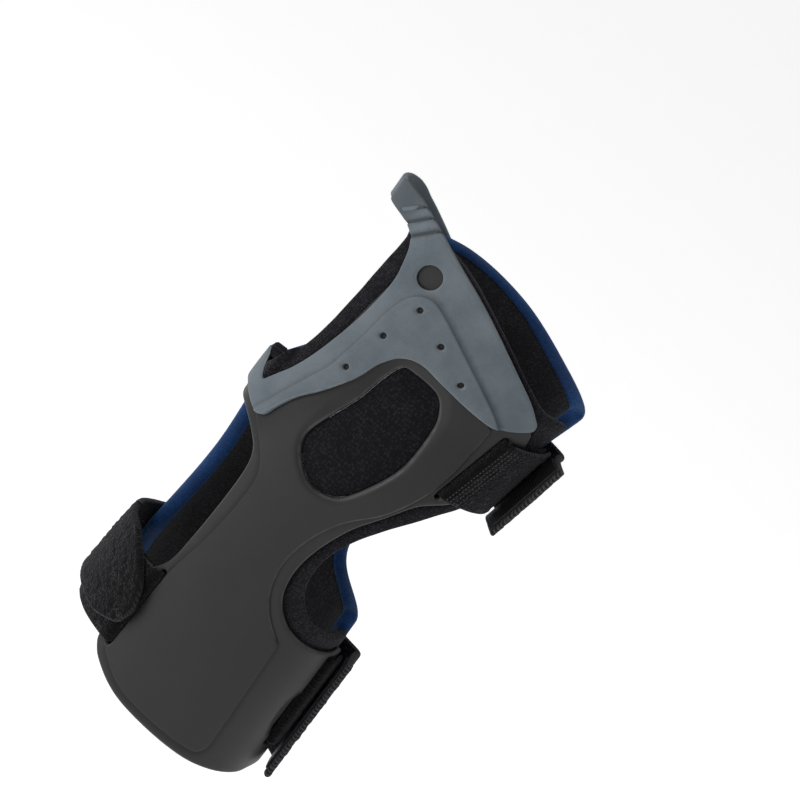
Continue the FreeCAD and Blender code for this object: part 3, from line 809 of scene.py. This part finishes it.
LINER_RUNS = [
    [(-34, -50), (-33, -38), (-29.6, -28), (-28.6, -20), (-27.9, -7), (-27.9, 7), (-29.4, 14.5),
     (-33.8, 19.5), (-38.5, 22.3), (-42, 23.3), (-52, 24)],
    [(-52, 41.5)],
    [(-42.2, 41), (-40.8, 38.2), (-39.8, 35.3)],
    [(-37.8, 40.5), (-36.4, 45.5), (-34.8, 52), (-33.6, 60), (-32.6, 70), (-32, 79), (-31, 90),
     (-31, 97)],
    [(-20, 98.6), (-9, 96.6), (3, 91.6), (15, 85.7), (27, 79), (36, 75), (52, 73.5)],
    [(52, 41)],
    [(35, 38.5), (29, 33.5), (23, 26.4), (16.7, 18.5), (10.6, 9), (7.6, 0), (8.3, -9.4),
     (13.6, -16.4), (20, -19.4), (28, -20.4), (50, -21)],
    [(50, -63)],
    [(29, -69), (18, -73.8), (6, -73.8), (-17, -70.8), (-29, -65.6), (-33.4, -61)]]
OVERLAY_RUNS = [
    [(-45, 27), (-43.4, 26.2), (-41.3, 25.2), (-38.4, 24), (-36, 23.9), (-33.7, 25.6),
     (-32.4, 29.4), (-29, 36.2), (-24, 42.6), (-18, 51.9), (-15, 59.4), (-10.6, 65), (-4.5, 67.2),
     (3, 66.3), (15, 64.6), (24, 63.8)],
    [(30, 65.8), (35.6, 69)],
    [(35.6, 71.4)],
    [(29, 77), (15, 84.8), (0, 92), (-15, 97.7), (-26, 101.8), (-36, 105)],
    [(-50, 105.7)],
    [(-50, 97.3)],
    [(-40, 97.2), (-35.5, 96.7), (-32, 95.2), (-29.6, 92.5), (-28.3, 88.5), (-27, 81.7),
     (-27.6, 73), (-29, 64), (-31.1, 55.6), (-33, 49), (-35.8, 41.8), (-38.8, 36.3), (-41.3, 31.4)],
    [(-43.4, 34.4), (-45.2, 38.4), (-52, 39.5)],
    [(-52, 27.6)]]
PANEL_RUNS = [
    [(-50, 33)],
    [(-42, 37), (-34, 47), (-30.5, 62), (-31, 78), (-34, 91)],
    [(-14, 94), (10, 91), (34, 83), (52, 77)],
    [(52, 36)],
    [(30, 31), (17, 21), (12, 6), (14, -8), (28, -15), (50, -17)],
    [(50, -62)],
    [(30, -66), (-8, -69), (-40, -64), (-50, -60)]]
PANEL_RADIAL_X = -43.0
WINDOW = [(-3, 18.3), (1.5, 21.3), (7, 30.2), (10.3, 39.2), (10.6, 51.7), (8.8, 58.2), (4.5, 62.3),
          (-4.5, 63.2), (-9, 62.1), (-11.6, 56.1), (-13.8, 47.2), (-17.4, 38.3), (-20, 30.3),
          (-19, 25.3), (-14.4, 20.3), (-9, 17.7)]
VENT = [(-24, -14), (-25, 8), (-19, 34), (-8, 42), (4, 34), (6, 8), (4, -14), (-10, -20)]
LENS = [(29.5, -36), (26.4, -42), (25.4, -49), (27, -58), (29.5, -60), (31, -48)]
# The field of the shell that stands a little proud, round from the wrist's ulnar side.
FIELD = [
    [(24, 55.6), (23, 44.4), (20, 34.4), (14, 23.6), (6, 15), (1, 6), (-1.5, -4.6), (0, -14.3),
     (4.5, -21.6), (12, -28.3)],
    [(13.6, -61.3), (13.6, -68.6)],
    [(9, -71.1), (-17, -68.4), (-29.5, -62.2)],
    [(-29.8, -45), (-27.6, -28.4), (-25, -16), (-23.5, -0.6), (-24, 10.2), (-29, 17.5), (-40, 27)],
    [(-40, 60), (-20, 84), (24.5, 62.7)]]
# The overlay's inner field, beside the window.
RAISED = [(-38, 20), (-36.8, 25.4), (-34.6, 30.9), (-31.5, 38.2), (-29, 44), (-26.5, 49.5),
          (-25, 56), (-23.5, 63.8), (-22, 74), (-19, 81.3), (-13.6, 84.2), (-7.6, 82.8), (3, 77.8),
          (15, 71.7), (24, 66.3), (33, 58)]
RAISED_REST = [(33, 58), (0, 50), (-20, 30), (-30, 18), (-38, 20)]
WEB_GROOVES = [((-37, 98.8), (-31.5, 105)), ((-35.6, 94.8), (-28.1, 103.6)),
               ((-31.8, 92.9), (-24.3, 101.6))]
PORT_BIG = (-18.6, 89.0, 3.9)
PORTS_SMALL = [(-14.7, 79.7), (-3.0, 75.0), (8.8, 69.3), (-19.0, 66.9), (-22.4, 52.7)]
PORT_SMALL_RADIUS = 1.0
SLOTS = {"distal": [(22.6, 36.2), (29.4, 63.2), (31.6, 62.8), (24.8, 35.8)],
         "radial": [(-28.2, -31.2), (-29.2, -60.6), (-31.4, -60.6), (-30.4, -31.2)],
         "ulnar": [(27.2, -26.8), (27.2, -61.6), (29, -61.6), (29, -26.8)]}
LOOPS = {"distal": [(23.1, 37), (29.5, 62.6), (52, 64.5), (52, 37)],
         "radial": [(-28.6, -31.8), (-29.6, -60), (-56, -58), (-56, -33.5)],
         "ulnar": [(27.4, -27.4), (27.4, -61), (50, -61), (50, -27.4)]}
STAY_CHANNEL = [(-17.5, -59.5), (1.5, -59.5), (1.5, 81.5), (-17.5, 81.5)]
RADIAL_TAB = [(-60, -26.5), (-43.5, -26.8), (-37, -31.6), (-31, -38.6), (-29, -45.5),
              (-30.6, -51.8), (-38.6, -55), (-60, -52)]
RADIAL_HOOK = [(-60, -31), (-43, -31), (-38, -34.4), (-33.4, -40), (-31.6, -46), (-33, -50.5),
               (-39, -52), (-60, -50)]
STITCH_BOXES = [(-10, 6, 44, 58), (0, 12, -57, -30), (-28, -17, -50, -28)]
WEB_FOLD = (-18.0, 85.0)
WEB_SLANT = math.radians(34.5)
WEB_LANDING = [(3, -8), (3, 8), (28, 8), (28, -8)]
WEB_HOOK = [(8, -5.5), (8, 5.5), (21, 5.5), (25, 3), (25, -3), (21, -5.5)]


def polygon(points):
    """Fine points along a polygon's sides."""
    points = np.asarray(points, float)
    return np.vstack([respaced(np.stack(side), FINE)[:-1]
                      for side in zip(points, np.roll(points, -1, 0))])


def surface_loop(runs, out, passes=3):
    return softened(to_surface(loop_of(runs), out), passes)


def surface_polygon(points, out, passes, step=COARSE, *split):
    return softened(to_surface(polygon(points), out, *split), passes, step)


def smooth_loop(points, out, step, *split):
    return even(to_surface(curve_through(points, closed=True)[:-1], out, *split), step)


def surface_line(points, out, step=COARSE):
    return respaced(to_surface(curve_through(points), out), step)


def ring(x, z, radius, out, count):
    """Round hole on the surface."""
    centre = to_surface([(x, z)], out)[0]
    turn = np.arange(count) / count * 2 * math.pi
    return centre + radius * np.stack([np.cos(turn), np.sin(turn)], axis=1)


# ---- palm half

def keep(thing, body, slot, *nodes):
    """Finish a piece; one that is blended across a joint has no body of its own."""
    if body:
        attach(thing, body)
    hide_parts(*nodes)


FIELD_RISE = 0.42       # of the shell's raised field
LENS_DEPTH = 0.95
ANCHOR_RELIEF = 1.75    # of the shell's underside, over an anchor
WINDOW_SLOPE = np.array([-0.55, 0.83])  # towards the end of the window with the wider slope

shell_loop = surface_loop(SHELL_RUNS, SHELL_OUT)
field_loop = surface_loop(FIELD, SHELL_OUT, 2)
window_loop = smooth_loop(WINDOW, SHELL_OUT, 0.7)
lens_loop = smooth_loop(LENS, SHELL_OUT, 0.6)
slot_loops = [surface_polygon(slot, SHELL_OUT, 4, 0.5) for slot in SLOTS.values()]
anchor_loops = [surface_polygon(loop, SHELL_OUT, 1) for loop in LOOPS.values()]
overlay_loop = surface_loop(OVERLAY_RUNS, OVERLAY_OUT, 2)
waist_start = to_surface([(-2.5, -4.6)], SHELL_OUT)[0, 0]
# Span across which painted shade darkens the shell beside the overlay.
painted_shade_span = to_surface([(-10, 40), (-27, 30)], SHELL_OUT)[:, 0]


def shell_top(flat, edge):
    """Outer face: the raised field, the slope down to the window, and the dished lens."""
    field = signed(flat, field_loop)
    top = SHELL_OUT - FIELD_RISE * (1 - ramp(field, -0.28, 0.28)) - 0.2 * bump(field + 0.5, 0.28)
    opening = to_distance(flat, window_loop)
    wide = ramp(unit(flat - window_loop.mean(0)) @ WINDOW_SLOPE, -0.2, 0.75)
    top -= (0.45 + 0.5 * wide) * (1 - ramp(opening, 0.2, 1.3 + 2.9 * wide))
    top -= 0.16 * wide * bump(opening - 4.3, 0.4)
    return top - LENS_DEPTH * ramp(signed(flat, lens_loop), -0.1, 1.1)


def shell_bottom(flat, edge):
    relief = np.max([ramp(signed(flat, loop), -0.4, 0.4) for loop in anchor_loops], axis=0)
    return SHELL_IN + ANCHOR_RELIEF * relief


def waist(flat):
    """Where the raised field's border catches the light, round the wrist."""
    return (flat[:, 1] > -27) & (flat[:, 0] > waist_start)


def shell_painted_shade(flat, edge):
    """Painted shade: darker in the groove round the field, beside the overlay and on the thumb's
    wing.
    """
    groove = bump(signed(flat, field_loop) + 0.45, 0.42) * ramp(edge, 0.9, 1.4)
    groove *= np.where(waist(flat), 0.3, 1.0)
    near = ramp(to_distance(flat, overlay_loop), 10, 0) * ramp(flat[:, 0], *painted_shade_span)
    wing = ramp(flat[:, 0], painted_shade_span[1] - 2, painted_shade_span[1] - 8) * ramp(flat[:, 1], 8, 16)
    return np.maximum(groove, 0.62 * near + 0.3 * wing)


def shell_worn_and_highlit_rim(flat, edge):
    """Distance to the nearest pale rim: the border, pale from wear and a painted highlight, or the
    crest of the field, pale from a painted highlight.
    """
    crest = np.where(waist(flat) & ((flat[:, 1] > 54) | (flat[:, 1] < 36)), 0.2, 0.62)
    return np.minimum(edge, crest + 1.5 * np.abs(signed(flat, field_loop) - 0.15))


shell = sheet_body("shell", shell_loop, shell_bottom, shell_top, SHELL_PLASTIC, radius=0.85,
                   low_radius=0.6, holes=[window_loop, *slot_loops],
                   lines=[(field_loop, (-1.1, -0.8, -0.55, -0.3, -0.1, 0.1, 0.35, 0.7), True),
                          (lens_loop, (0, 0.3, 0.6, 0.9, 1.2), True)],
                   marks={"line": shell_painted_shade, "edge": shell_worn_and_highlit_rim})
keep(shell, "palm_half", "shell_plastic", "palm_shell")

RAISED_RISE = 0.75      # of the overlay's inner field
LIP_DEPTH = 1.05        # of the overlay where it folds round the thumb's root
GROOVE_DEPTH = 0.9

raised_line = surface_line(RAISED, OVERLAY_OUT)
raised_loop = np.vstack([raised_line[:-1], surface_line(RAISED_REST, OVERLAY_OUT)[:-1]])
groove_lines = [surface_line(ends, WEB_OUT, 0.5) for ends in WEB_GROOVES]
ports = [ring(*PORT_BIG, OVERLAY_OUT, 36)]
ports += [ring(x, z, PORT_SMALL_RADIUS, OVERLAY_OUT, 18) for x, z in PORTS_SMALL]
thumb_bend = to_surface([(-41.0, 32)], OVERLAY_OUT)[0, 0]
web_start = to_surface([(-27.5, 97)], WEB_OUT)[0, 0]


def thumb_fold(flat):
    """Share of the lip that folds round the thumb's root, where the lining is thick."""
    bend = ramp(thumb_bend - flat[:, 0], -0.4, 1.2)
    return bend * ramp(flat[:, 1], 30, 33.5) * (flat[:, 1] < 46)


def overlay_top(flat, edge):
    """Outer face: the inner field, the strap with its grooves, and a lip round each hole."""
    field = signed(flat, raised_loop)
    top = OVERLAY_OUT - RAISED_RISE * (1 - ramp(field, -0.4, 0.25)) - 0.14 * bump(field + 0.7, 0.35)
    web = ramp(web_start - flat[:, 0], 0, 5) * ramp(flat[:, 1], 92, 97)
    top += (WEB_OUT - top) * web
    for line in groove_lines:
        top -= GROOVE_DEPTH * bump(to_distance(flat, line, False), 0.5)
    around = np.min([to_distance(flat, port) for port in ports], axis=0)
    return top + 0.12 * bump(around - 0.9, 0.5)


def overlay_bottom(flat, edge):
    on_shell = ramp(signed(flat, shell_loop), -1.0, -0.15)
    bottom = OVERLAY_IN + (SHELL_OUT + THINNEST - OVERLAY_IN) * on_shell
    return bottom + (OVERLAY_OUT - LIP_DEPTH - bottom) * thumb_fold(flat)


def overlay_painted_shade(flat, edge):
    """Painted shade: darker in the grooves, along the strap and under the inner field's crest."""
    marks = [1.2 * bump(to_distance(flat, line, False), 0.62) for line in groove_lines]
    along = groove_lines[1][:, 0].mean() - flat[:, 0]
    marks.append(0.55 * ramp(along, -2.5, 3.5) * (flat[:, 1] > 85))
    marks.append(0.42 * bump(signed(flat, raised_loop) + 0.7, 0.6))
    return np.max(marks, axis=0)


def overlay_worn_and_highlit_rim(flat, edge):
    """Distance to the nearest pale rim: the border, pale from wear and a painted highlight, or the
    crest of the inner field, pale from a painted highlight.
    """
    return np.minimum(edge, 0.22 + 1.6 * np.abs(signed(flat, raised_loop) - 0.2))


overlay = sheet_body("overlay", overlay_loop, overlay_bottom, overlay_top, OVERLAY_RUBBER,
                     radius=0.65, low_radius=0.3, grid=0.9, holes=ports,
                     lines=[(raised_line, (-1.3, -0.95, -0.65, -0.4, -0.15, 0.1, 0.35), False)]
                     + [(line, (-0.7, -0.35, 0, 0.35, 0.7), False) for line in groove_lines],
                     marks={"line": overlay_painted_shade, "edge": overlay_worn_and_highlit_rim})
keep(overlay, "palm_half", "overlay_rubber", "palm_overlay")

SHOWN_RISE = 0.9        # of the liner, past the shell's border
FOLD_RISE = 2.45        # more where the overlay's lip folds over it
LAYER_GAP = 0.02

liner_loop = surface_loop(LINER_RUNS, SHELL_IN, 4)
channel = surface_polygon(STAY_CHANNEL, SHELL_IN, 3)


def soft_face(level, dip, size, seed):
    """A soft face that wanders a little."""
    return lambda flat, edge: level + dip * value_noise(flat, size, seed)


def liner_top(flat, edge):
    """Outer face: it stands up past the shell's border, where nothing holds it down."""
    outside = -signed(flat, shell_loop)
    free = ramp(outside, 0.4, 1.4) * ramp(-signed(flat, overlay_loop), -2.5, 0.5)
    free = np.maximum(free, ramp(outside, 0.4, 1.2) * thumb_fold(flat))
    rise = (SHOWN_RISE + FOLD_RISE * thumb_fold(flat)) * free
    return SHELL_IN - 0.1 + rise + 0.06 * value_noise(flat, 5, 3)


def pad_top(flat, edge):
    """The window's cushion, crowned in the middle."""
    return 4.75 + 1.05 * ramp(edge, 0, 7) + 0.05 * value_noise(flat, 4, 5)


cover = sheet_body("liner_cover", liner_loop, LINER_MID + LAYER_GAP, liner_top, LINER_KNIT,
                   radius=1.0, grid=0.9, holes=[channel])
keep(cover, "palm_half", "backing_foam", "liner_backing")
foam = sheet_body("liner_pad", inset(liner_loop, 0.35), soft_face(LINER_IN + 0.1, 0.08, 6, 4),
                  LINER_MID - LAYER_GAP, LINING_KNIT, radius=1.0, grid=1.4)
keep(foam, "palm_half", "liner_fabric", "liner_foam")
pad = sheet_body("window_cushion", inset(window_loop, 0.08), SHELL_IN + LAYER_GAP, pad_top,
                 WINDOW_KNIT, radius=0.35, low_radius=0.1, grid=0.8)
keep(pad, "palm_half", "window_fabric", "window_pad")


# ---- anchors on the shell

PLY, PLY_THICK = 1.45, 1.4          # of an anchor's webbing, with and without its gap
UNDER_SHELL, IN_SLOT = 5.2, 5.7     # layers of the webbing
LINE_STEP = 0.4


def xy_on_limb(s, z, out):
    s, out = np.broadcast_arrays(np.asarray(s, float), np.asarray(out, float))
    return on_limb(s, np.full(s.shape, float(z)), out)[:, :2]


def anchor_path(slot, outer, end_y, side, join):
    """Line of an anchor's webbing: in under the shell, up through its slot, back over the bar."""
    corners = np.array(slot)
    low, high = (corners[0] + corners[3]) / 2, (corners[1] + corners[2]) / 2

    def path_at(z):
        x = low[0] + (high[0] - low[0]) * (z - low[1]) / (high[1] - low[1])
        start = round_at(x, z, SHELL_OUT, PALM_SPLIT)
        end = round_at(side * FAR, z, outer, end_y)
        ahead = np.append(np.array([1.0, 0.75, 0.5, 0.3, 0.12]) * (end - start) * side, 1.0)
        under = np.where(ahead > join, outer - 1.75 * PLY - 0.1, UNDER_SHELL)
        over = np.full(len(ahead), outer - PLY / 2)
        s = np.concatenate([start + side * ahead, [start, start], start + side * ahead[::-1]])
        out = np.concatenate([under, [IN_SLOT, outer - PLY / 2 - 0.45], over])
        return curve_through(xy_on_limb(s, z, out), LINE_STEP)
    return path_at


def slot_shade(path, low, high, reach):
    """Painted shade where the webbing comes up out of its slot, to this far past it."""
    middle = (edge_heights(low)(0.5) + edge_heights(high)(0.5)) / 2
    shaded = run_of(path(middle))[-1] / 2 + reach
    return lambda along, across: ramp(along, shaded, shaded - 0.9)


FAR = 70.0              # an x past the limb's side
# By slot: node, outer layer, y of the free end, side, where the plies join, reach of the painted
# shade past the slot, and the heights of the two edges.
ANCHORS = {
    "distal": ("distal_anchor", 8.85, 1.2, 1, 9.0, 3.4,
               37.4, between((0, 64.0), (0.5, 62.3), (1, 64.0))),
    "radial": ("radial_anchor", 8.55, -3.0, -1, 6.5, 3.0,
               between((0, -58.2), (0.5, -59.7), (1, -58.2)),
               between((0, -33.6), (0.5, -32.2), (1, -33.6))),
    "ulnar": ("proximal_anchor", 8.25, 1.2, 1, 60.0, 14.0,
              -60.7, -27.6)}
for key, (cad_name, outer, end_y, side, join, reach, low, high) in ANCHORS.items():
    path = anchor_path(SLOTS[key], outer, end_y, side, join)
    thing = strap(key + "_anchor_loop", path, low, high, PLY_THICK, LOOP_PILE, radius=0.7,
                  step=0.6, rough=0.16, seed=11, shade=slot_shade(path, low, high, reach))
    keep(thing, "palm_half", "webbing", cad_name)

SEAMS, SEAM_GAP, SEAM_START = 4, 1.2, 1.95
rows = []
for k in range(SEAMS):
    shift = SEAM_START + SEAM_GAP * k
    rows.append(to_surface(curve_through([(24 + shift, 38.2), (30.3 + shift, 62)], 0.5), 8.9))
seams = stitches("anchor_seams", rows, out=8.97, radius=0.13, pitch=1.1, length=0.7)
keep(seams, "palm_half", "thread", "anchor_stitching")


# ---- straps that close the splint

STRAP_THICK, STRAP_EDGE, STRAP_ROUGH = 2.1, 0.8, 0.2
HOOK_THICK, HOOK_EDGE = 0.55, 0.27
# A tab's plane: its x at height 0, and how far x grows with the height.
DISTAL, PROXIMAL = (33.65, 0.1947), (33.0, 0.0)
# Lines of the tabs and their hook patches, as x from the tab's plane, and y.
FLARED = [(0, 8), (0, 4.5), (0.1, 1), (1.1, -2.6), (3.1, -7.6)]
STRAIGHT = [(0, 8), (0, 4.5), (0, 0), (0.15, -4), (0.5, -8.9)]
HOOK_FLARED = [(-1.5, 2), (-1.42, 0.2), (-0.6, -2.6), (1.3, -6.9)]
HOOK_STRAIGHT = [(-1.48, 2), (-1.48, 0), (-1.33, -4), (-1.05, -7.8)]


def tab_points(z, plane, tab):
    x = plane[0] + plane[1] * z
    return [(x + dx, y) for dx, y in tab]


def hook_path(plane, tab):
    return lambda z: curve_through(tab_points(z, plane, tab), LINE_STEP)


def band_path(start_x, plane, tab):
    """Strap line: from its sewn start on the back, round the ulnar side, to its tab's end."""
    def path_at(z):
        first = round_at(start_x, z, STRAP_MIDDLE, 0.0, True)
        _, cy, _, half_depth = limb(z)
        last = round_at(FAR, z, STRAP_MIDDLE, min(12.5, cy + half_depth), True)
        points = xy_on_limb(np.linspace(first, last, 12), z, STRAP_MIDDLE)
        return curve_through(np.vstack([points, tab_points(z, plane, tab)]), LINE_STEP)
    return path_at


distal = strap("distal_band", band_path(-12, DISTAL, FLARED),
               between((0, 41), (0.55, 38.5), (0.75, 37.5), (0.84, 34.5), (1, 34.5)),
               between((0, 60.5), (0.3, 61.2), (0.6, 64.3), (1, 64)), STRAP_THICK, LOOP_PILE,
               STRAP_EDGE, rough=STRAP_ROUGH, seed=21)
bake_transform(distal)
keep(distal, None, "webbing", "distal_strap", "distal_tab")
proximal = strap("proximal_band", band_path(-4, PROXIMAL, STRAIGHT),
                 between((0, -60), (0.3, -64), (0.6, -69), (0.72, -70.5), (1, -70.5)),
                 between((0, -27), (0.5, -25.5), (1, -25)), STRAP_THICK, LOOP_PILE,
                 STRAP_EDGE, rough=STRAP_ROUGH, seed=22)
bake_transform(proximal)
keep(proximal, None, "webbing", "proximal_strap", "proximal_tab")
for key, plane, tab, low, high in (("distal", DISTAL, HOOK_FLARED, 35.5, 63),
                                   ("proximal", PROXIMAL, HOOK_STRAIGHT, -68.5, -27)):
    patch = strap(key + "_hook_patch", hook_path(plane, tab), low,
                  high, HOOK_THICK, HOOK_TAPE, HOOK_EDGE, step=0.8)
    keep(patch, key + "_closure", "hook_tape", key + "_hook")

# The thumb side's strap: from the back round to its tab, which closes on the radial anchor.
RADIAL_SEAM_Y = -1.2
TAB_MIDDLE = 10.7
TAB_IN, TAB_OUT = 9.58, 11.9
RADIAL_HOOK_IN, RADIAL_HOOK_OUT = 8.82, 9.45


def radial_path(z):
    first = round_at(-14.0, z, STRAP_MIDDLE, 0.0, True)
    last = round_at(-FAR, z, TAB_MIDDLE, RADIAL_SEAM_Y - 1.2, True)
    s = np.linspace(first, last, 26)
    y = xy_on_limb(s, z, STRAP_MIDDLE)[:, 1]
    out = STRAP_MIDDLE + (TAB_MIDDLE - STRAP_MIDDLE) * ramp(-y, -14.5, 1.0)
    return curve_through(xy_on_limb(s, z, out), LINE_STEP)


def rough_face(level, amount, seed):
    return lambda flat, edge: level + amount * ramp(edge, 0, 1) * value_noise(flat, 0.9, seed)


def tab_shade(flat, edge):
    """Darker along the edge that faces the thumb."""
    return 0.7 * ramp(flat[:, 1], -48, -33) + 0.22


radial = strap("radial_band", radial_path, between((0, -54), (0.6, -52.5), (1, -52)),
               -26, STRAP_THICK, LOOP_PILE, STRAP_EDGE,
               rough=STRAP_ROUGH, seed=23)
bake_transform(radial)
keep(radial, None, "webbing", "radial_strap", "radial_strap_bend")
tab_loop = surface_polygon(RADIAL_TAB, TAB_MIDDLE, 8, 0.6, RADIAL_SEAM_Y + 1.2)
closing = sheet_body("radial_closing_tab", tab_loop, TAB_IN, rough_face(TAB_OUT, 0.24, 31),
                     LOOP_PILE, radius=0.95, grid=0.6, marks={"line": tab_shade})
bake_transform(closing)
keep(closing, None, "webbing", "radial_tab")
hook_loop = surface_polygon(RADIAL_HOOK, 9.2, 4, 0.6, -8.6)
hook = sheet_body("radial_hook_patch", hook_loop, RADIAL_HOOK_IN, RADIAL_HOOK_OUT, HOOK_TAPE,
                  radius=0.28, grid=1.2)
keep(hook, "radial_closure", "hook_tape", "radial_hook")


# ---- back panel

MESH_PITCH = 3.3
MESH_HOLE = 1.05
MESH_IN, MESH_OUT = 2.02, 3.15
SEWN_OUT = 7.7

panel_plan = loop_of(PANEL_RUNS)
panel_plan[:, 0] = np.maximum(panel_plan[:, 0], PANEL_RADIAL_X)
panel_split = np.where(panel_plan[:, 0] < 0, BACK_SPLIT_RADIAL, BACK_SPLIT_ULNAR)
panel_loop = turned_left(softened(to_surface(panel_plan, PANEL_OUT, panel_split, True), 14))
vent_loop = smooth_loop(VENT, PANEL_OUT, COARSE, 0.0, True)


def rolled_edge(name, loop, depth, low, high, material):
    """Folded edging along an outline: a rounded roll, flat where it meets the panel."""
    normal, run = left_of(loop), run_of(loop)
    half, m = (high - low) / 2, len(loop)
    points, flat, edge = [], [], []
    turns = np.linspace(-math.pi / 2, math.pi / 2, 15)
    for turn in turns:
        at = loop + normal * depth * (1 - math.cos(turn))
        out = np.full(m, (low + high) / 2 + half * math.sin(turn))
        points.append(on_limb(at[:, 0], at[:, 1], out))
        flat.append(np.stack([run, np.full(m, (turn + math.pi / 2) * half)], axis=1))
        edge.append(np.full(m, half * (math.pi / 2 - abs(turn))))
    polygons = tube_quads(len(turns), m, True).tolist()
    return piece(name, np.vstack(points), polygons, material, np.vstack(flat),
                 {"edge": np.concatenate(edge)})


def panel_top(flat, edge):
    return PANEL_OUT - 0.12 + 0.1 * value_noise(flat, 9, 42) * ramp(edge, 0, 3)


edging = rolled_edge("panel_edging", panel_loop, 2.3, LINER_IN, PANEL_OUT, BINDING_KNIT)
keep(edging, "dorsal_panel", "binding", "dorsal_binding")
inner_loop = inset(panel_loop, 2.25)
panel_pad = sheet_body("panel_pad", inner_loop, soft_face(LINER_IN + 0.12, 0.1, 7, 41),
                       FOAM_OUT - LAYER_GAP, LINING_KNIT, radius=0.9, low_radius=1.0,
                       grid=1.4, holes=[vent_loop])
keep(panel_pad, "dorsal_panel", "backing_foam", "dorsal_foam")
panel_cover = sheet_body("panel_cover", inner_loop, FOAM_OUT + LAYER_GAP, panel_top, DORSAL_KNIT,
                         radius=1.1, low_radius=0.2, grid=1.1, holes=[vent_loop])
keep(panel_cover, "dorsal_panel", "dorsal_fabric", "dorsal_face")

mesh_loop = inset(vent_loop, 0.15)
low_corner, high_corner = mesh_loop.min(0), mesh_loop.max(0)
spots = []
for i, z in enumerate(np.arange(low_corner[1], high_corner[1], MESH_PITCH * 0.866)):
    first = low_corner[0] + (i % 2) * MESH_PITCH / 2
    spots += [(s, z) for s in np.arange(first, high_corner[0], MESH_PITCH)]
spots = np.array(spots)
spots = spots[signed(spots, mesh_loop) > MESH_HOLE + 1.2]
turns = np.arange(8) / 8 * 2 * math.pi
round_hole = MESH_HOLE * np.stack([np.cos(turns), np.sin(turns)], axis=1)
panel_mesh = sheet_body("panel_mesh", mesh_loop, MESH_IN, MESH_OUT, MESH_KNIT, radius=0, grid=2.0,
                        holes=[spot + round_hole for spot in spots])
keep(panel_mesh, "dorsal_panel", "mesh", "dorsal_mesh")

rows = []
for left, right_x, low_z, high_z in STITCH_BOXES:
    corners = [(left, low_z), (right_x, low_z), (right_x, high_z), (left, high_z), (left, low_z)]
    rows += [to_surface(respaced(np.array(pair, float), 0.5), SEWN_OUT, 0.0, True)
             for pair in zip(corners, corners[1:])]
sewing = stitches("panel_seams", rows, out=SEWN_OUT + 0.05, radius=0.28)
keep(sewing, "dorsal_panel", "thread", "panel_stitching")


# ---- strap through the thumb web

WEB_EDGE = 1.0
WEB_PLAN = 8.4          # width that the ribbon's plan is drawn at


def along_web(u, w=0):
    """Plan point along and across the strap on the back, from its tab's fold."""
    c, d = math.cos(WEB_SLANT), math.sin(WEB_SLANT)
    return WEB_FOLD[0] + u * c + w * d, WEB_FOLD[1] - u * d + w * c


def once_round(z):
    return looked_up(LENGTHS, TABLE_TURN, np.array(2 * math.pi), z)


def web_ribbon(name, line, outs, widths, thickness):
    """Strap along a line of the surface plane, with its own width and layer along the way."""
    length = run_of(line)[-1]
    along = stops(length, 0.7, 0.9)
    share = along / length
    centre = respaced(respaced(line, 0.25), shares=share)
    normal = left_of(respaced(line, 1.0), False)
    at = np.linspace(0, 1, len(normal))
    side = np.stack([np.interp(share, at, normal[:, k]) for k in (0, 1)], axis=1)
    across = stops(1.0, 0.09, 0.1) - 0.5
    at = centre[:, None] + side[:, None] * (widths(share)[:, None] * across[None])[..., None]
    out = np.repeat(outs(share)[:, None], len(across), axis=1)
    return grid_body(name, on_limb(at[..., 0], at[..., 1], out), thickness, OVERLAY_RUBBER,
                     along, across * WEB_PLAN, WEB_EDGE)


palm_part = [(-33.0, 100.3), (-37.0, 101.2), (-40.5, 101.5)]
back_part = [along_web(u) for u in (-26.5, -20, -13, -7, -1.2)]
web_points = [(round_at(x, z, 6.5, 0.0) + once_round(z), z) for x, z in palm_part]
web_points += [(round_at(x, z, 6.6, 0.0, True), z) for x, z in back_part]
web_line = curve_through(web_points[::-1], 0.3)
web_strap = web_ribbon("web_band", web_line, between((0, 6.6), (0.7, 6.6), (1, 6.45)),
                       between((0, 8.4), (0.6, 8.4), (1, 6.6)), 2.1)
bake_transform(web_strap)
keep(web_strap, None, "overlay_rubber", "web_strap_tail")

tab_plan = [along_web(u) for u in (-4.2, 0, 6, 12, 18, 24, 27)]
tab_line = curve_through([(round_at(x, z, 7.5, 0.0, True), z) for x, z in tab_plan], 0.3)
web_tab = web_ribbon("web_closing_tab", tab_line,
                     between((0, 6.65), (0.14, 6.9), (0.35, 8.35), (1, 8.35)),
                     between((0, 8.7), (0.2, 8.9), (0.36, 13.6), (0.84, 13.8), (0.95, 10.5),
                             (1, 7.5)), 2.25)
fold_start, fold_end = along_web(-2.4), along_web(2.4)
fold_start[0] * MM
fold_start[1] * MM
fold_end[0] * MM
fold_end[1] * MM
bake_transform(web_tab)
keep(web_tab, None, "overlay_rubber", "web_tab")
for name, plan, low, high, material, body, slot, cad_name in (
        ("web_landing_pile", WEB_LANDING, 5.42, rough_face(6.15, 0.12, 51), LOOP_PILE,
         "dorsal_panel", "webbing", "web_landing"),
        ("web_hook_patch", WEB_HOOK, 6.5, 7.15, HOOK_TAPE, "web_closure", "hook_tape",
         "web_hook")):
    loop = surface_polygon([along_web(u, w) for u, w in plan], 6.3, 5, 0.6, 0.0, True)
    patch = sheet_body(name, loop, low, high, material, radius=0.3, grid=0.7)
    keep(patch, body, slot, cad_name)

for cad_name, material in (("palmar_stay", STAY_METAL), ("stay_tip_proximal", STAY_DIP),
                           ("stay_tip_distal", STAY_DIP)):
    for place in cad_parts[cad_name].material_slots:
        place.material = material
